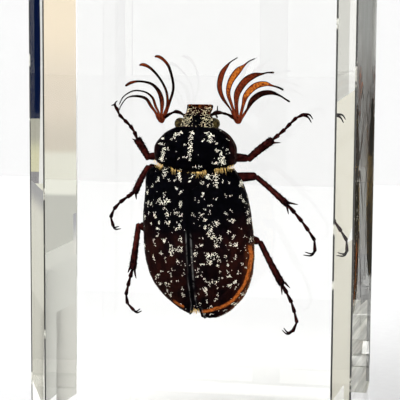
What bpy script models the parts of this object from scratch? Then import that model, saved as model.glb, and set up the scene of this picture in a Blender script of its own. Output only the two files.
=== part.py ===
"""A chafer with fan antennae, spread flat and sealed in an upright block of clear resin.

The block stands on its short end with its bevelled face to the front (-Y), and the beetle is seen
from its back, head up. The block is parted at the level of the legs, so that the beetle can lie in
a pocket between the two halves. World units are metres. The beetle is laid out in millimetres from
its own centre: x to the right, z towards the head and out towards the front face.
"""
import math
from dataclasses import dataclass

import bmesh
import bpy
from mathutils import Vector

MM = 0.001

# The block
BLOCK_WIDTH = 0.0460
BLOCK_DEPTH = 0.0392
BLOCK_HEIGHT = 0.0740
BEVEL_ACROSS = 0.0026
BEVEL_DEEP = 0.0016
PARTING_DEPTH = 0.0248
PARTING_GAP = 0.0003
FRONT_FACE = -BLOCK_DEPTH / 2
BACK_FACE = BLOCK_DEPTH / 2
PARTING = FRONT_FACE + PARTING_DEPTH

# The beetle in it
SPECIMEN_CENTRE = Vector((-0.0010, PARTING, 0.0365))
POCKET_CLEARANCE = 0.45
BODY_LEVEL = 2.2
ELYTRA_ROLL = math.radians(8.0)
PRONOTUM_ROLL = math.radians(5.0)
HEAD_ROLL = math.radians(4.0)
CORNER_FULLNESS = 0.86
SUTURE_DEPTH = 0.22
SUTURE_ANGLE = math.radians(2.2)

# Stations along the body: z, middle x, half width, height of the back, depth of the belly, bow
ELYTRA_STATIONS = (
    (4.5, -1.1, 6.2, 3.0, 4.6, 0.0),
    (3.3, -1.1, 7.1, 4.1, 5.0, 0.0),
    (0.8, -0.6, 7.7, 4.9, 5.3, 0.0),
    (-2.5, -0.4, 8.2, 5.4, 5.4, 0.0),
    (-6.5, -0.1, 8.4, 5.6, 5.3, 0.0),
    (-9.7, 0.1, 8.2, 5.4, 5.0, 0.0),
    (-12.2, 0.3, 7.6, 4.8, 4.5, 0.0),
    (-14.4, 0.6, 6.4, 3.9, 3.8, 0.0),
    (-16.2, 0.9, 4.6, 2.8, 2.6, 0.0),
    (-17.3, 1.1, 3.0, 1.8, 1.6, 0.0),
    (-17.9, 1.3, 1.5, 0.8, 0.8, 0.0),
)
PRONOTUM_STATIONS = (
    (10.6, -0.6, 3.2, 2.1, 2.6, -0.2),
    (10.1, -0.6, 4.4, 2.7, 3.2, -0.3),
    (9.3, -0.6, 5.3, 3.3, 3.8, -0.3),
    (8.0, -0.7, 6.1, 4.0, 4.3, -0.2),
    (6.6, -0.7, 6.2, 4.4, 4.7, 0.0),
    (5.4, -0.6, 6.1, 4.4, 4.8, 0.3),
    (4.2, -0.5, 5.6, 4.0, 4.8, 0.8),
    (3.8, -0.5, 3.2, 2.2, 2.8, 0.0),
)
HEAD_STATIONS = (
    (13.7, -0.2, 1.9, 0.5, 0.7, 0.0),
    (13.2, -0.2, 2.0, 0.5, 0.9, 0.0),
    (12.5, -0.4, 1.8, 1.0, 1.4, 0.0),
    (11.8, -0.4, 2.5, 1.5, 2.0, 0.0),
    (10.6, -0.5, 3.0, 2.1, 2.4, 0.0),
    (9.4, -0.6, 3.0, 2.3, 2.6, 0.0),
)
SCUTELLUM_STATIONS = (
    (4.4, -1.1, 2.2, 4.3, -2.5, 0.0),
    (3.2, -1.1, 2.0, 4.8, -2.5, 0.0),
    (2.2, -1.1, 1.3, 4.9, -2.5, 0.0),
    (1.5, -1.1, 0.4, 4.9, -2.5, 0.0),
)
HEAD_LEVEL = 1.4
EYES = ((-3.2, 10.8), (2.4, 10.8))
EYE_RADIUS = 1.0
EYE_LEVEL = 1.6
EYE_SIDES = 8
EYE_POCKET_SIDES = 6


@dataclass(frozen=True)
class Section:
    """One section of the body: its stations, roll and level, and the sides of its rings."""

    name: str
    stations: tuple
    roll: float
    level: float
    sides: int
    pocket_sides: int


ELYTRA = Section("elytra", ELYTRA_STATIONS, ELYTRA_ROLL, BODY_LEVEL, 28, 18)
SCUTELLUM = Section("scutellum", SCUTELLUM_STATIONS, ELYTRA_ROLL, BODY_LEVEL, 12, 8)
PRONOTUM = Section("pronotum", PRONOTUM_STATIONS, PRONOTUM_ROLL, BODY_LEVEL, 24, 14)
HEAD = Section("head", HEAD_STATIONS, HEAD_ROLL, HEAD_LEVEL, 20, 12)

# The feelers: the stalk, then the five blades of each fan, as x, z points from root to tip
ANTENNA_LEVEL = 0.5
STALK_WIDTH = 0.6
BLADE_WIDTH = 0.8
BLADE_TIP = 0.34
BLADE_THICKNESS = 0.34
BLADE_SIDES = 4
CLUB_WIDTH = 1.2
LEFT_STALK = ((-1.6, 11.9), (-3.0, 12.3), (-4.8, 12.6), (-5.7, 11.7), (-6.3, 11.2))
RIGHT_STALK = ((0.8, 11.8), (2.3, 12.5), (3.5, 12.3), (4.6, 11.8), (5.4, 11.3))
LEFT_BLADES = (
    ((-5.9, 11.2), (-5.2, 12.8), (-4.3, 15.2), (-4.4, 18.0), (-5.7, 20.3), (-7.3, 20.8)),
    ((-6.0, 11.2), (-5.5, 13.2), (-5.3, 16.2), (-6.3, 18.1), (-8.0, 19.3), (-9.6, 19.5)),
    ((-6.2, 11.2), (-6.2, 13.6), (-6.5, 15.8), (-8.2, 17.1), (-10.2, 17.1), (-11.8, 16.3)),
    ((-6.3, 11.1), (-6.9, 13.3), (-7.9, 15.3), (-9.7, 15.8), (-11.4, 15.2), (-12.7, 13.4)),
    ((-6.4, 11.0), (-7.3, 12.4), (-8.4, 14.3), (-10.2, 14.8), (-11.5, 14.2), (-12.6, 12.8)),
)
RIGHT_BLADES = (
    ((5.1, 11.3), (4.5, 12.4), (3.1, 14.6), (2.6, 17.0), (3.5, 19.2), (5.4, 20.7)),
    ((5.2, 11.3), (4.7, 12.8), (4.1, 15.0), (4.3, 17.6), (5.6, 19.1), (8.0, 20.6)),
    ((5.3, 11.3), (5.2, 13.8), (5.5, 16.1), (7.0, 18.0), (8.8, 18.4), (10.8, 18.6)),
    ((5.5, 11.2), (6.0, 13.4), (6.8, 15.8), (8.6, 16.8), (10.4, 16.8), (12.3, 16.0)),
    ((5.7, 11.1), (6.6, 12.8), (7.7, 14.9), (9.9, 15.8), (11.6, 15.3), (13.2, 14.2)),
)
LEFT_FAN = (
    (-3.6, 16.0), (-3.6, 18.8), (-5.2, 21.4), (-8.4, 21.5), (-10.8, 20.2), (-12.8, 17.1),
    (-13.7, 13.0), (-12.4, 11.8), (-10.2, 13.2), (-7.4, 10.6), (-5.6, 10.2), (-4.3, 12.2),
)
RIGHT_FAN = (
    (1.8, 16.0), (2.0, 19.0), (4.4, 21.4), (8.8, 21.4), (11.9, 19.2), (14.2, 14.6),
    (13.2, 13.1), (9.8, 14.4), (7.4, 11.6), (6.2, 10.4), (4.4, 10.4), (3.2, 12.6),
)
FAN_POCKET_HALF_DEPTH = 0.6


@dataclass(frozen=True)
class Leg:
    """One leg: its joints as x, z points in millimetres, and the width of each piece."""

    name: str
    femur: tuple
    femur_width: float
    tibia: tuple
    tibia_widths: tuple
    thorns: tuple
    tarsus: tuple
    claws: tuple


LIMB_SIDES = 6
HIP_LEVEL = -0.2
KNEE_LEVEL = 0.1
FEMUR_END_SHARE = 0.82
THORN_WIDTH = 0.42
THORN_TIP = 0.12
THORN_SPAN = 1.7
TARSUS_WIDTH = 0.52
TARSUS_WAIST = 0.32
TARSUS_END = 0.42
TARSUS_JOINTS = 5
TARSUS_JOINT_ROWS = ((0.04, TARSUS_WAIST), (0.85, TARSUS_WIDTH))
ANKLE_INSET = 0.15
CLAW_WIDTH = 0.3
CLAW_TIP = 0.1
CLAW_SPREAD = 0.3
CLAW_SPAN = 1.2
TIP_REACH = 1.3
LEGS = (
    Leg("left_fore", ((-3.4, 6.0), (-8.3, 5.9)), 1.3,
        ((-8.0, 5.4), (-8.9, 6.9), (-10.0, 8.6)), (0.9, 1.1, 1.2),
        (((-9.6, 8.0), (-10.7, 8.5)),),
        ((-10.6, 10.0), (-11.8, 11.2), (-12.7, 12.1), (-13.1, 13.1)),
        (((-13.1, 12.9), (-13.5, 13.5), (-14.0, 13.4)), ((-13.1, 12.9), (-13.3, 13.7), (-12.9, 14.2)))),
    Leg("left_middle", ((-4.0, 3.0), (-8.2, 4.4)), 1.3,
        ((-8.0, 4.5), (-9.2, 2.6), (-10.3, 0.2)), (0.9, 0.9, 1.0),
        (((-10.1, 0.4), (-10.0, -0.7)), ((-10.3, 0.5), (-11.1, 0.3))),
        ((-12.1, -0.8), (-13.4, -2.1), (-14.0, -3.6), (-13.6, -4.8)),
        (((-13.7, -4.6), (-13.3, -5.3), (-12.4, -5.2)), ((-13.7, -4.6), (-13.4, -5.0), (-12.6, -4.8)))),
    Leg("left_hind", ((-4.5, -6.4), (-9.6, -4.5)), 1.5,
        ((-9.6, -4.2), (-10.1, -7.9), (-10.6, -11.5)), (0.8, 0.9, 1.15),
        (((-10.9, -11.0), (-11.3, -11.9)), ((-10.3, -11.2), (-10.0, -12.8))),
        ((-11.2, -13.6), (-11.6, -15.6), (-11.2, -16.9), (-10.4, -17.6)),
        (((-10.5, -17.5), (-9.9, -18.0), (-9.1, -17.7)), ((-10.5, -17.5), (-10.0, -17.8), (-9.3, -17.3)))),
    Leg("right_fore", ((2.6, 6.1), (7.1, 5.9)), 1.35,
        ((6.8, 5.6), (8.6, 7.2), (10.7, 8.8)), (0.95, 1.1, 1.15),
        (((10.1, 8.3), (11.8, 8.3)),),
        ((12.4, 10.3), (13.4, 11.4), (14.3, 12.2), (15.1, 12.5)),
        (((14.9, 12.5), (15.9, 12.5), (16.5, 11.8)), ((14.9, 12.5), (15.8, 12.1), (16.3, 11.3)))),
    Leg("right_middle", ((3.0, 2.8), (8.4, 3.3)), 1.45,
        ((8.1, 3.3), (10.4, 1.4), (13.1, -1.0)), (0.75, 0.8, 1.0),
        (((12.9, -0.5), (14.5, -0.8)), ((12.8, -0.8), (13.1, -2.3))),
        ((14.7, -2.8), (16.0, -4.5), (17.1, -6.2), (17.1, -7.6)),
        (((17.2, -7.3), (16.6, -8.3), (15.3, -8.3)), ((17.2, -7.3), (16.7, -8.0), (15.6, -7.8)))),
    Leg("right_hind", ((3.6, -5.2), (8.9, -6.5)), 1.4,
        ((8.8, -6.3), (10.5, -9.6), (12.4, -13.0)), (0.8, 0.9, 1.1),
        (((12.2, -12.6), (12.3, -14.4)), ((12.6, -12.4), (13.5, -13.3))),
        ((13.8, -15.6), (14.3, -17.4), (14.6, -18.8), (14.0, -19.8)),
        (((14.1, -19.6), (13.2, -20.3), (12.3, -19.7)), ((14.1, -19.6), (13.3, -20.0), (12.6, -19.3)))),
)


def place(x, z, out=0.0):
    """Return the world point of a beetle position given in millimetres."""
    return SPECIMEN_CENTRE + Vector((x * MM, -out * MM, z * MM))


def material(name, colour, roughness, transmission=0.0, ior=1.5):
    """Make one surface with a flat colour."""
    made = bpy.data.materials.new(name)
    made.use_nodes = True
    shader = made.node_tree.nodes["Principled BSDF"]
    shader.inputs["Base Color"].default_value = (*colour, 1.0)
    shader.inputs["Roughness"].default_value = roughness
    shader.inputs["Metallic"].default_value = 0.0
    shader.inputs["Transmission Weight"].default_value = transmission
    shader.inputs["IOR"].default_value = ior
    return made


def collection(name):
    """Make a collection in the scene."""
    made = bpy.data.collections.new(name)
    bpy.context.scene.collection.children.link(made)
    return made


def add_object(name, shape, owner):
    """Turn an edited shape into a named object in a collection."""
    bmesh.ops.recalc_face_normals(shape, faces=shape.faces)
    mesh = bpy.data.meshes.new(name)
    shape.to_mesh(mesh)
    shape.free()
    made = bpy.data.objects.new(name, mesh)
    owner.objects.link(made)
    return made


def loft(rings):
    """Join rings of world points into one closed skin with flat ends."""
    shape = bmesh.new()
    rows = [[shape.verts.new(point) for point in ring] for ring in rings]
    for row, following in zip(rows, rows[1:]):
        for i, vert in enumerate(row):
            j = (i + 1) % len(row)
            shape.faces.new((vert, row[j], following[j], following[i]))
    shape.faces.new(rows[0])
    shape.faces.new(rows[-1])
    return shape


def smooth_rows(rows, steps):
    """Return a smooth run through rows of numbers, with some steps between each two."""
    ends = [tuple(2 * a - b for a, b in zip(rows[0], rows[1]))]
    ends += list(rows)
    ends += [tuple(2 * a - b for a, b in zip(rows[-1], rows[-2]))]
    run = []
    for before, start, end, after in zip(ends, ends[1:], ends[2:], ends[3:]):
        for step in range(steps):
            t = step / steps
            run.append(tuple(
                0.5 * (2 * b + (c - a) * t + (2 * a - 5 * b + 4 * c - d) * t ** 2
                       + (3 * b - a - 3 * c + d) * t ** 3)
                for a, b, c, d in zip(before, start, end, after)))
    run.append(tuple(rows[-1]))
    return run


def power(value, exponent):
    """Return a power that keeps the sign."""
    return math.copysign(abs(value) ** exponent, value)


def ring_angles(sides, suture):
    """Return the angles around a body ring, with a close pair beside the suture."""
    angles = [math.tau * i / sides for i in range(sides)]
    if suture:
        angles += [math.pi / 2 - SUTURE_ANGLE, math.pi / 2 + SUTURE_ANGLE]
    return sorted(angles)


def body_ring(station, angles, roll, level, grow, suture):
    """Return one ring of the body, rolled about its own middle."""
    z, middle, half, top, belly, bow = station
    ring = []
    for angle in angles:
        across = power(math.cos(angle), CORNER_FULLNESS) * (half + grow)
        rise = power(math.sin(angle), CORNER_FULLNESS)
        out = rise * ((top if rise > 0 else belly) + grow)
        if suture and abs(angle - math.pi / 2) < SUTURE_ANGLE / 2:
            out -= SUTURE_DEPTH
        x = middle + across * math.cos(roll) - out * math.sin(roll)
        lift = level + across * math.sin(roll) + out * math.cos(roll)
        ring.append(place(x, z + bow * (across / half) ** 2, lift))
    return ring


def body_section(section, owner, suture=False):
    """Make one section of the body."""
    angles = ring_angles(section.sides, suture)
    rings = [body_ring(station, angles, section.roll, section.level, 0.0, suture)
             for station in section.stations]
    return add_object(section.name, loft(rings), owner)


def section_pocket(section, owner):
    """Make the room for one section of the body, larger all round and at both ends."""
    grow = POCKET_CLEARANCE
    angles = ring_angles(section.pocket_sides, False)
    last = len(section.stations) - 1
    rings = []
    for i, (z, *rest) in enumerate(section.stations):
        stretched = z + grow * (1 - 2 * i / last)
        rings.append(body_ring((stretched, *rest), angles, section.roll, section.level, grow, False))
    return add_object(f"{section.name}_pocket", loft(rings), owner)


def limb(name, rows, sides, owner, flatness=1.0, turn=0.0):
    """Make a limb along rows of x, z, out and width, all in millimetres."""
    centres = [place(x, z, out) for x, z, out, _ in rows]
    front = Vector((0.0, -1.0, 0.0))
    rings = []
    for i, (centre, row) in enumerate(zip(centres, rows)):
        along = (centres[min(i + 1, len(rows) - 1)] - centres[max(i - 1, 0)]).normalized()
        across = along.cross(front).normalized()
        through = across.cross(along).normalized()
        radius = row[3] * MM / 2
        ring = []
        for side in range(sides):
            angle = math.tau * (side + turn) / sides
            offset = across * math.cos(angle) + through * math.sin(angle) * flatness
            ring.append(centre + offset * radius)
        rings.append(ring)
    return add_object(name, loft(rings), owner)


def channel(name, points, widths, level, owner):
    """Make straight square channels from point to point, each run past its ends by the clearance."""
    across_corners = [(width + 2 * POCKET_CLEARANCE) * math.sqrt(2) for width in widths]
    runs = []
    for number, (start, end) in enumerate(zip(points, points[1:])):
        step = Vector((end[0] - start[0], end[1] - start[1])).normalized() * POCKET_CLEARANCE
        near = (start[0] - step.x, start[1] - step.y, level, across_corners[number])
        far = (end[0] + step.x, end[1] + step.y, level, across_corners[number + 1])
        runs.append(limb(f"{name}_{number}", [near, far], 4, owner, turn=0.5))
    return runs


def tarsus_rows(points):
    """Return a foot of beadlike joints, each widest at its far end."""
    route = smooth_rows(points, 4)
    lengths = [0.0]
    for a, b in zip(route, route[1:]):
        lengths.append(lengths[-1] + math.dist(a, b))
    rows = []
    for joint in range(TARSUS_JOINTS):
        for share, width in TARSUS_JOINT_ROWS:
            distance = (joint + share) / TARSUS_JOINTS * lengths[-1]
            i = next(k for k in range(1, len(lengths)) if lengths[k] >= distance)
            t = (distance - lengths[i - 1]) / (lengths[i] - lengths[i - 1])
            x, z = (a + (b - a) * t for a, b in zip(route[i - 1], route[i]))
            rows.append((x, z, 0.0, width))
    rows.append((*route[-1], 0.0, TARSUS_END))
    return rows


def between(start, end, share):
    """Return the point at some share of the way between two."""
    return tuple(a + (b - a) * share for a, b in zip(start, end))


def leg_pieces(leg, owner):
    """Make the pieces of one leg: thigh, shin, thorns, foot and two claws."""
    pieces = []

    def add(part, *rows):
        pieces.append(limb(f"{leg.name}_{part}", rows, LIMB_SIDES, owner))

    hip, knee = leg.femur
    thigh = between(hip, knee, 0.5)
    end_width = leg.femur_width * FEMUR_END_SHARE
    add("femur", (*hip, HIP_LEVEL, end_width), (*thigh, HIP_LEVEL / 2, leg.femur_width),
        (*knee, KNEE_LEVEL, end_width))
    top, middle, ankle = leg.tibia
    near, half_way, far = leg.tibia_widths
    add("tibia", (*top, KNEE_LEVEL, near), (*middle, KNEE_LEVEL / 2, half_way), (*ankle, 0.0, far))
    for number, (root, tip) in enumerate(leg.thorns):
        add(f"thorn_{number}", (*root, 0.0, THORN_WIDTH), (*tip, 0.0, THORN_TIP))
    add("tarsus", *tarsus_rows([between(ankle, middle, ANKLE_INSET), *leg.tarsus]))
    for number, (root, bend, tip) in enumerate(leg.claws):
        lean = CLAW_SPREAD * (number - 0.5)
        add(f"claw_{number}", (*root, 0.0, CLAW_WIDTH), (*bend, lean, CLAW_WIDTH), (*tip, lean, CLAW_TIP))
    return pieces


def leg_channels(leg, owner):
    """Make the straight channels that one leg lies in, with a wider one for its claws."""
    ankle = leg.tibia[-1]
    thorn_root, thorn_tip = ([sum(axis) / len(axis) for axis in zip(*ends)] for ends in zip(*leg.thorns))
    claw_tip = between(leg.claws[0][-1], leg.claws[1][-1], 0.5)
    thorn_end = between(thorn_root, thorn_tip, TIP_REACH)
    claw_end = between(leg.tarsus[-1], claw_tip, TIP_REACH)
    runs = channel(f"{leg.name}_femur_run", leg.femur, (leg.femur_width,) * 2, 0.0, owner)
    runs += channel(f"{leg.name}_tibia_run", (leg.tibia[0], ankle), (leg.tibia_widths[-1],) * 2, 0.0, owner)
    runs += channel(f"{leg.name}_thorn_run", (thorn_root, thorn_end), (THORN_SPAN,) * 2, 0.0, owner)
    runs += channel(f"{leg.name}_tarsus_run", (ankle, *leg.tarsus[1:]), (TARSUS_WIDTH,) * 4, 0.0, owner)
    runs += channel(f"{leg.name}_claw_run", (leg.tarsus[-1], claw_end), (CLAW_SPAN,) * 2, 0.0, owner)
    return runs


def stalk_rows(points):
    """Return the stalk of a feeler, thicker towards its end."""
    rows = [(x, z, ANTENNA_LEVEL, STALK_WIDTH) for x, z in points[:-1]]
    rows.append((*points[-1], ANTENNA_LEVEL, CLUB_WIDTH))
    return rows


def antenna_pieces(side, stalk, blades, owner):
    """Make one feeler: its stalk and the five long blades of its fan."""
    pieces = [limb(f"{side}_stalk", stalk_rows(stalk), LIMB_SIDES, owner)]
    for number, points in enumerate(blades):
        last = len(points) - 1
        rows = []
        for i, (x, z) in enumerate(points):
            fullness = math.sin(math.pi * i / last)
            rows.append((x, z, ANTENNA_LEVEL, BLADE_TIP + (BLADE_WIDTH - BLADE_TIP) * fullness))
        run = smooth_rows(rows, 2)
        flatness = BLADE_THICKNESS / BLADE_WIDTH
        pieces.append(limb(f"{side}_blade_{number}", run, BLADE_SIDES, owner, flatness))
    return pieces


def eye(name, position, sides, owner, grow=0.0):
    """Make one bulging eye."""
    shape = bmesh.new()
    radius = (EYE_RADIUS + grow) * MM
    bmesh.ops.create_uvsphere(shape, u_segments=sides, v_segments=sides - 2, radius=radius)
    bmesh.ops.translate(shape, verts=shape.verts, vec=place(*position, EYE_LEVEL))
    return add_object(name, shape, owner)


def fan_pocket(name, outline, owner):
    """Make the flat chamber that one fan of blades lies in."""
    curve = bpy.data.curves.new(name, "CURVE")
    curve.dimensions = "2D"
    curve.fill_mode = "BOTH"
    curve.extrude = FAN_POCKET_HALF_DEPTH * MM
    spline = curve.splines.new("POLY")
    spline.points.add(len(outline) - 1)
    for point, (x, z) in zip(spline.points, outline):
        point.co = (x * MM, z * MM, 0.0, 1.0)
    spline.use_cyclic_u = True
    flat = bpy.data.objects.new(name, curve)
    flat.rotation_euler.x = math.pi / 2
    flat.location = place(0.0, 0.0, ANTENNA_LEVEL)
    owner.objects.link(flat)
    bpy.context.view_layer.update()
    mesh = bpy.data.meshes.new_from_object(flat.evaluated_get(bpy.context.evaluated_depsgraph_get()))
    mesh.transform(flat.matrix_world)
    bpy.data.objects.remove(flat)
    shape = bmesh.new()
    shape.from_mesh(mesh)
    bmesh.ops.remove_doubles(shape, verts=shape.verts, dist=0.00001)
    return add_object(name, shape, owner)


def fuse(base, pieces):
    """Join pieces to the base object as one closed skin, and drop the pieces."""
    group = collection("pieces")
    for piece in pieces:
        group.objects.link(piece)
    joint = base.modifiers.new("join", "BOOLEAN")
    joint.operation = "UNION"
    joint.operand_type = "COLLECTION"
    joint.collection = group
    bpy.context.view_layer.update()
    joined = bpy.data.meshes.new_from_object(base.evaluated_get(bpy.context.evaluated_depsgraph_get()))
    base.modifiers.clear()
    shape = bmesh.new()
    shape.from_mesh(joined)
    bmesh.ops.triangulate(shape, faces=shape.faces)
    shape.to_mesh(base.data)
    shape.free()
    for piece in pieces:
        bpy.data.objects.remove(piece)
    bpy.data.collections.remove(group)


def make_beetle(owner):
    """Build the whole specimen as one grown piece."""
    body = body_section(ELYTRA, owner, suture=True)
    body.name = "beetle"
    pieces = [body_section(section, owner) for section in (SCUTELLUM, PRONOTUM, HEAD)]
    pieces += [eye(f"eye_{i}", position, EYE_SIDES, owner) for i, position in enumerate(EYES)]
    pieces += antenna_pieces("left", LEFT_STALK, LEFT_BLADES, owner)
    pieces += antenna_pieces("right", RIGHT_STALK, RIGHT_BLADES, owner)
    for leg in LEGS:
        pieces += leg_pieces(leg, owner)
    fuse(body, pieces)
    body.data.shade_smooth()
    body.data.set_sharp_from_angle(angle=math.radians(40.0))
    return body


def make_pocket(owner):
    """Build the hollow that the specimen lies in, a little larger all round."""
    pocket = section_pocket(ELYTRA, owner)
    pieces = [section_pocket(section, owner) for section in (SCUTELLUM, PRONOTUM, HEAD)]
    pieces.append(fan_pocket("left_fan_pocket", LEFT_FAN, owner))
    pieces.append(fan_pocket("right_fan_pocket", RIGHT_FAN, owner))
    for number, position in enumerate(EYES):
        pieces.append(eye(f"eye_pocket_{number}", position, EYE_POCKET_SIDES, owner, POCKET_CLEARANCE))
    for side, stalk in (("left", LEFT_STALK), ("right", RIGHT_STALK)):
        widths = (STALK_WIDTH,) * len(stalk)
        pieces += channel(f"{side}_stalk_run", stalk, widths, ANTENNA_LEVEL, owner)
    for leg in LEGS:
        pieces += leg_channels(leg, owner)
    fuse(pocket, pieces)
    pocket.hide_render = True
    pocket.display_type = "WIRE"
    return pocket


def make_front_half(owner, pocket):
    """Build the half in front of the legs, with a bevel around its face."""
    length = PARTING_DEPTH - PARTING_GAP / 2 - BEVEL_DEEP
    shape = bmesh.new()
    bmesh.ops.create_cube(shape, size=1.0)
    bmesh.ops.scale(shape, verts=shape.verts, vec=(BLOCK_WIDTH, length, BLOCK_HEIGHT))
    middle = FRONT_FACE + BEVEL_DEEP + length / 2
    bmesh.ops.translate(shape, verts=shape.verts, vec=(0.0, middle, BLOCK_HEIGHT / 2))
    shape.normal_update()
    face = min(shape.faces, key=lambda each: each.calc_center_median().y)
    raised = bmesh.ops.extrude_face_region(shape, geom=[face])["geom"]
    corners = [item for item in raised if isinstance(item, bmesh.types.BMVert)]
    bmesh.ops.delete(shape, geom=[face], context="FACES_ONLY")
    for corner in corners:
        corner.co.y = FRONT_FACE
        corner.co.x -= math.copysign(BEVEL_ACROSS, corner.co.x)
        corner.co.z -= math.copysign(BEVEL_ACROSS, corner.co.z - BLOCK_HEIGHT / 2)
    half = add_object("resin_front", shape, owner)
    cut_pocket(half, pocket)
    return half


def make_back_half(owner, pocket):
    """Build the half behind the legs, a plain slab with sharp back edges."""
    length = BLOCK_DEPTH - PARTING_DEPTH - PARTING_GAP / 2
    shape = bmesh.new()
    bmesh.ops.create_cube(shape, size=1.0)
    bmesh.ops.scale(shape, verts=shape.verts, vec=(BLOCK_WIDTH, length, BLOCK_HEIGHT))
    bmesh.ops.translate(shape, verts=shape.verts, vec=(0.0, BACK_FACE - length / 2, BLOCK_HEIGHT / 2))
    half = add_object("resin_back", shape, owner)
    cut_pocket(half, pocket)
    return half


def cut_pocket(half, pocket):
    """Hollow one half of the block by the pocket."""
    cut = half.modifiers.new("pocket", "BOOLEAN")
    cut.operation = "DIFFERENCE"
    cut.object = pocket


def main():
    """Build the specimen and the two halves of its block."""
    for old in list(bpy.data.objects):
        bpy.data.objects.remove(old)
    parts = collection("insect_in_resin_block")
    cutters = collection("cutters")
    pocket = make_pocket(cutters)
    resin = material("clear resin", (0.93, 0.95, 0.93), 0.02, transmission=1.0)
    chitin = material("beetle shell", (0.045, 0.022, 0.015), 0.3)
    for half in (make_front_half(parts, pocket), make_back_half(parts, pocket)):
        half.data.materials.append(resin)
    make_beetle(parts).data.materials.append(chitin)


if __name__ == "__main__":
    main()
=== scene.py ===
"""The looks of a fan-feelered chafer sealed in an upright block of clear resin.

The beetle is laid out in millimetres from its own centre: x to the right, y away from the front face and
z towards the head. A height above the level of the legs, towards the front face, is called out, and it
is the negative of y. Each sub-assembly is a class that holds its sizes and makes its own pieces.
"""

import logging
import math
from dataclasses import dataclass, field
from enum import Enum

import bmesh
import bpy
import numpy as np
from mathutils import Matrix, Vector, noise


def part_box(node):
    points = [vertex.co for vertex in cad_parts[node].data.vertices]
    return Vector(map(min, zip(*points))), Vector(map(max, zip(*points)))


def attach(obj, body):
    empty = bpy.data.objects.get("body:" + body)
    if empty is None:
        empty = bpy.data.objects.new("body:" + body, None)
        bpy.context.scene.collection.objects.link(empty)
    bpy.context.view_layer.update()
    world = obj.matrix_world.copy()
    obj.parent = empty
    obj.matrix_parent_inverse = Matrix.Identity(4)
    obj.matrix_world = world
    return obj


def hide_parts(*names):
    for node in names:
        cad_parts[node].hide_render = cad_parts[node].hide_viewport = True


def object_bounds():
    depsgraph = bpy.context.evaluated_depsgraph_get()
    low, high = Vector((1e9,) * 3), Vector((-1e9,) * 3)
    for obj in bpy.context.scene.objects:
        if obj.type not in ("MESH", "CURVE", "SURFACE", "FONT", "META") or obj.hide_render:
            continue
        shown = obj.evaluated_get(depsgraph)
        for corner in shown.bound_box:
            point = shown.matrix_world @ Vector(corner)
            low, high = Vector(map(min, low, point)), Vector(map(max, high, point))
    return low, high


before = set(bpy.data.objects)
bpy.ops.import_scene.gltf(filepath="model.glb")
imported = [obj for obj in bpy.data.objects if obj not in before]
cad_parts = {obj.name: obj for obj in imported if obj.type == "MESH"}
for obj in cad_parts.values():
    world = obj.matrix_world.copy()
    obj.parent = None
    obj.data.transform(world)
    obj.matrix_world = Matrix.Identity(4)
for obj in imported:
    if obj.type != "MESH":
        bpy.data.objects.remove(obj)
CAD_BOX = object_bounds()
LOG = logging.getLogger("insect_in_resin_block")

MM = 0.001
BODY = "root"
WETTED = 1.03
"""The refractive index of the beetle's shell against that of the resin around it."""
PAPER = 0.328
"""The share of light that the stage's paper gives back, so that it stays just under white."""
UNSEEN = 1.0
"""The refractive index at which a dark board gives back no gleam of the light."""
NOISE_SPAN = (0.3, 0.7)
"""The range that most values of a noise lie in."""
Colour = tuple[float, float, float]
Row = tuple[float, ...]


# ----------------------------------------
# Places and outlines
# ----------------------------------------


class Side(Enum):
    """A side of the beetle as the viewer sees it."""

    LEFT = -1
    RIGHT = 1

    @property
    def word(self) -> str:
        """The side's name in small letters."""
        return self.name.lower()


@dataclass(frozen=True)
class Layout:
    """Where the beetle lies in the block.

    Attributes:
        shift: how far the beetle's centre is from the block's middle plane, in millimetres.
        rise: how high its centre is above the block's foot, in millimetres.
    """

    shift: float = -1.0
    rise: float = 36.5

    def centre(self) -> np.ndarray:
        """Return the beetle's centre in world metres, on the plane where the CAD halves part."""
        low, high = CAD_BOX
        parting = (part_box("resin_front")[1].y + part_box("resin_back")[0].y) / 2
        return np.array([(low.x + high.x) / 2 + self.shift * MM, parting, low.z + self.rise * MM])

    def world(self, points: np.ndarray) -> np.ndarray:
        """Return beetle millimetres as world metres."""
        return self.centre() + np.asarray(points, float) * MM


LAYOUT = Layout()


def smooth(rows: tuple[Row, ...], steps: int) -> np.ndarray:
    """Run a smooth curve through rows of numbers.

    Args:
        rows: the rows that the curve passes through.
        steps: how many steps it takes between each two.

    Returns:
        One row of numbers for each step, and the last row.
    """
    table = np.array(rows, float)
    ends = np.vstack([2 * table[0] - table[1], table, 2 * table[-1] - table[-2]])
    t = np.arange(steps)[:, None] / steps
    spans = [
        0.5 * (2 * b + (c - a) * t + (2 * a - 5 * b + 4 * c - d) * t**2 + (3 * b - a - 3 * c + d) * t**3)
        for a, b, c, d in zip(ends, ends[1:], ends[2:], ends[3:])
    ]
    return np.vstack([*spans, table[-1:]])


def ease(low: float, high: float, value: np.ndarray) -> np.ndarray:
    """Return 0 at low and beyond it, 1 at high and beyond it, and a smooth step between."""
    t = np.clip((value - low) / (high - low), 0.0, 1.0)
    return t * t * (3.0 - 2.0 * t)


def bell(value: np.ndarray, width: float) -> np.ndarray:
    """Return a soft bump of height 1 around 0."""
    return np.exp(-((value / width) ** 2))


def speckle(points: np.ndarray, grain: float, seed: float = 0.0) -> np.ndarray:
    """Return smooth noise between about -1 and 1 at some points.

    Args:
        points: an array that ends in x, y and z, in millimetres.
        grain: the size of one lump, in millimetres.
        seed: a shift that gives another pattern.
    """
    flat = points.reshape(-1, 3) / grain + seed
    values = np.array([noise.noise(Vector(point)) for point in flat])
    return values.reshape(points.shape[:-1]) * 1.6


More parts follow.
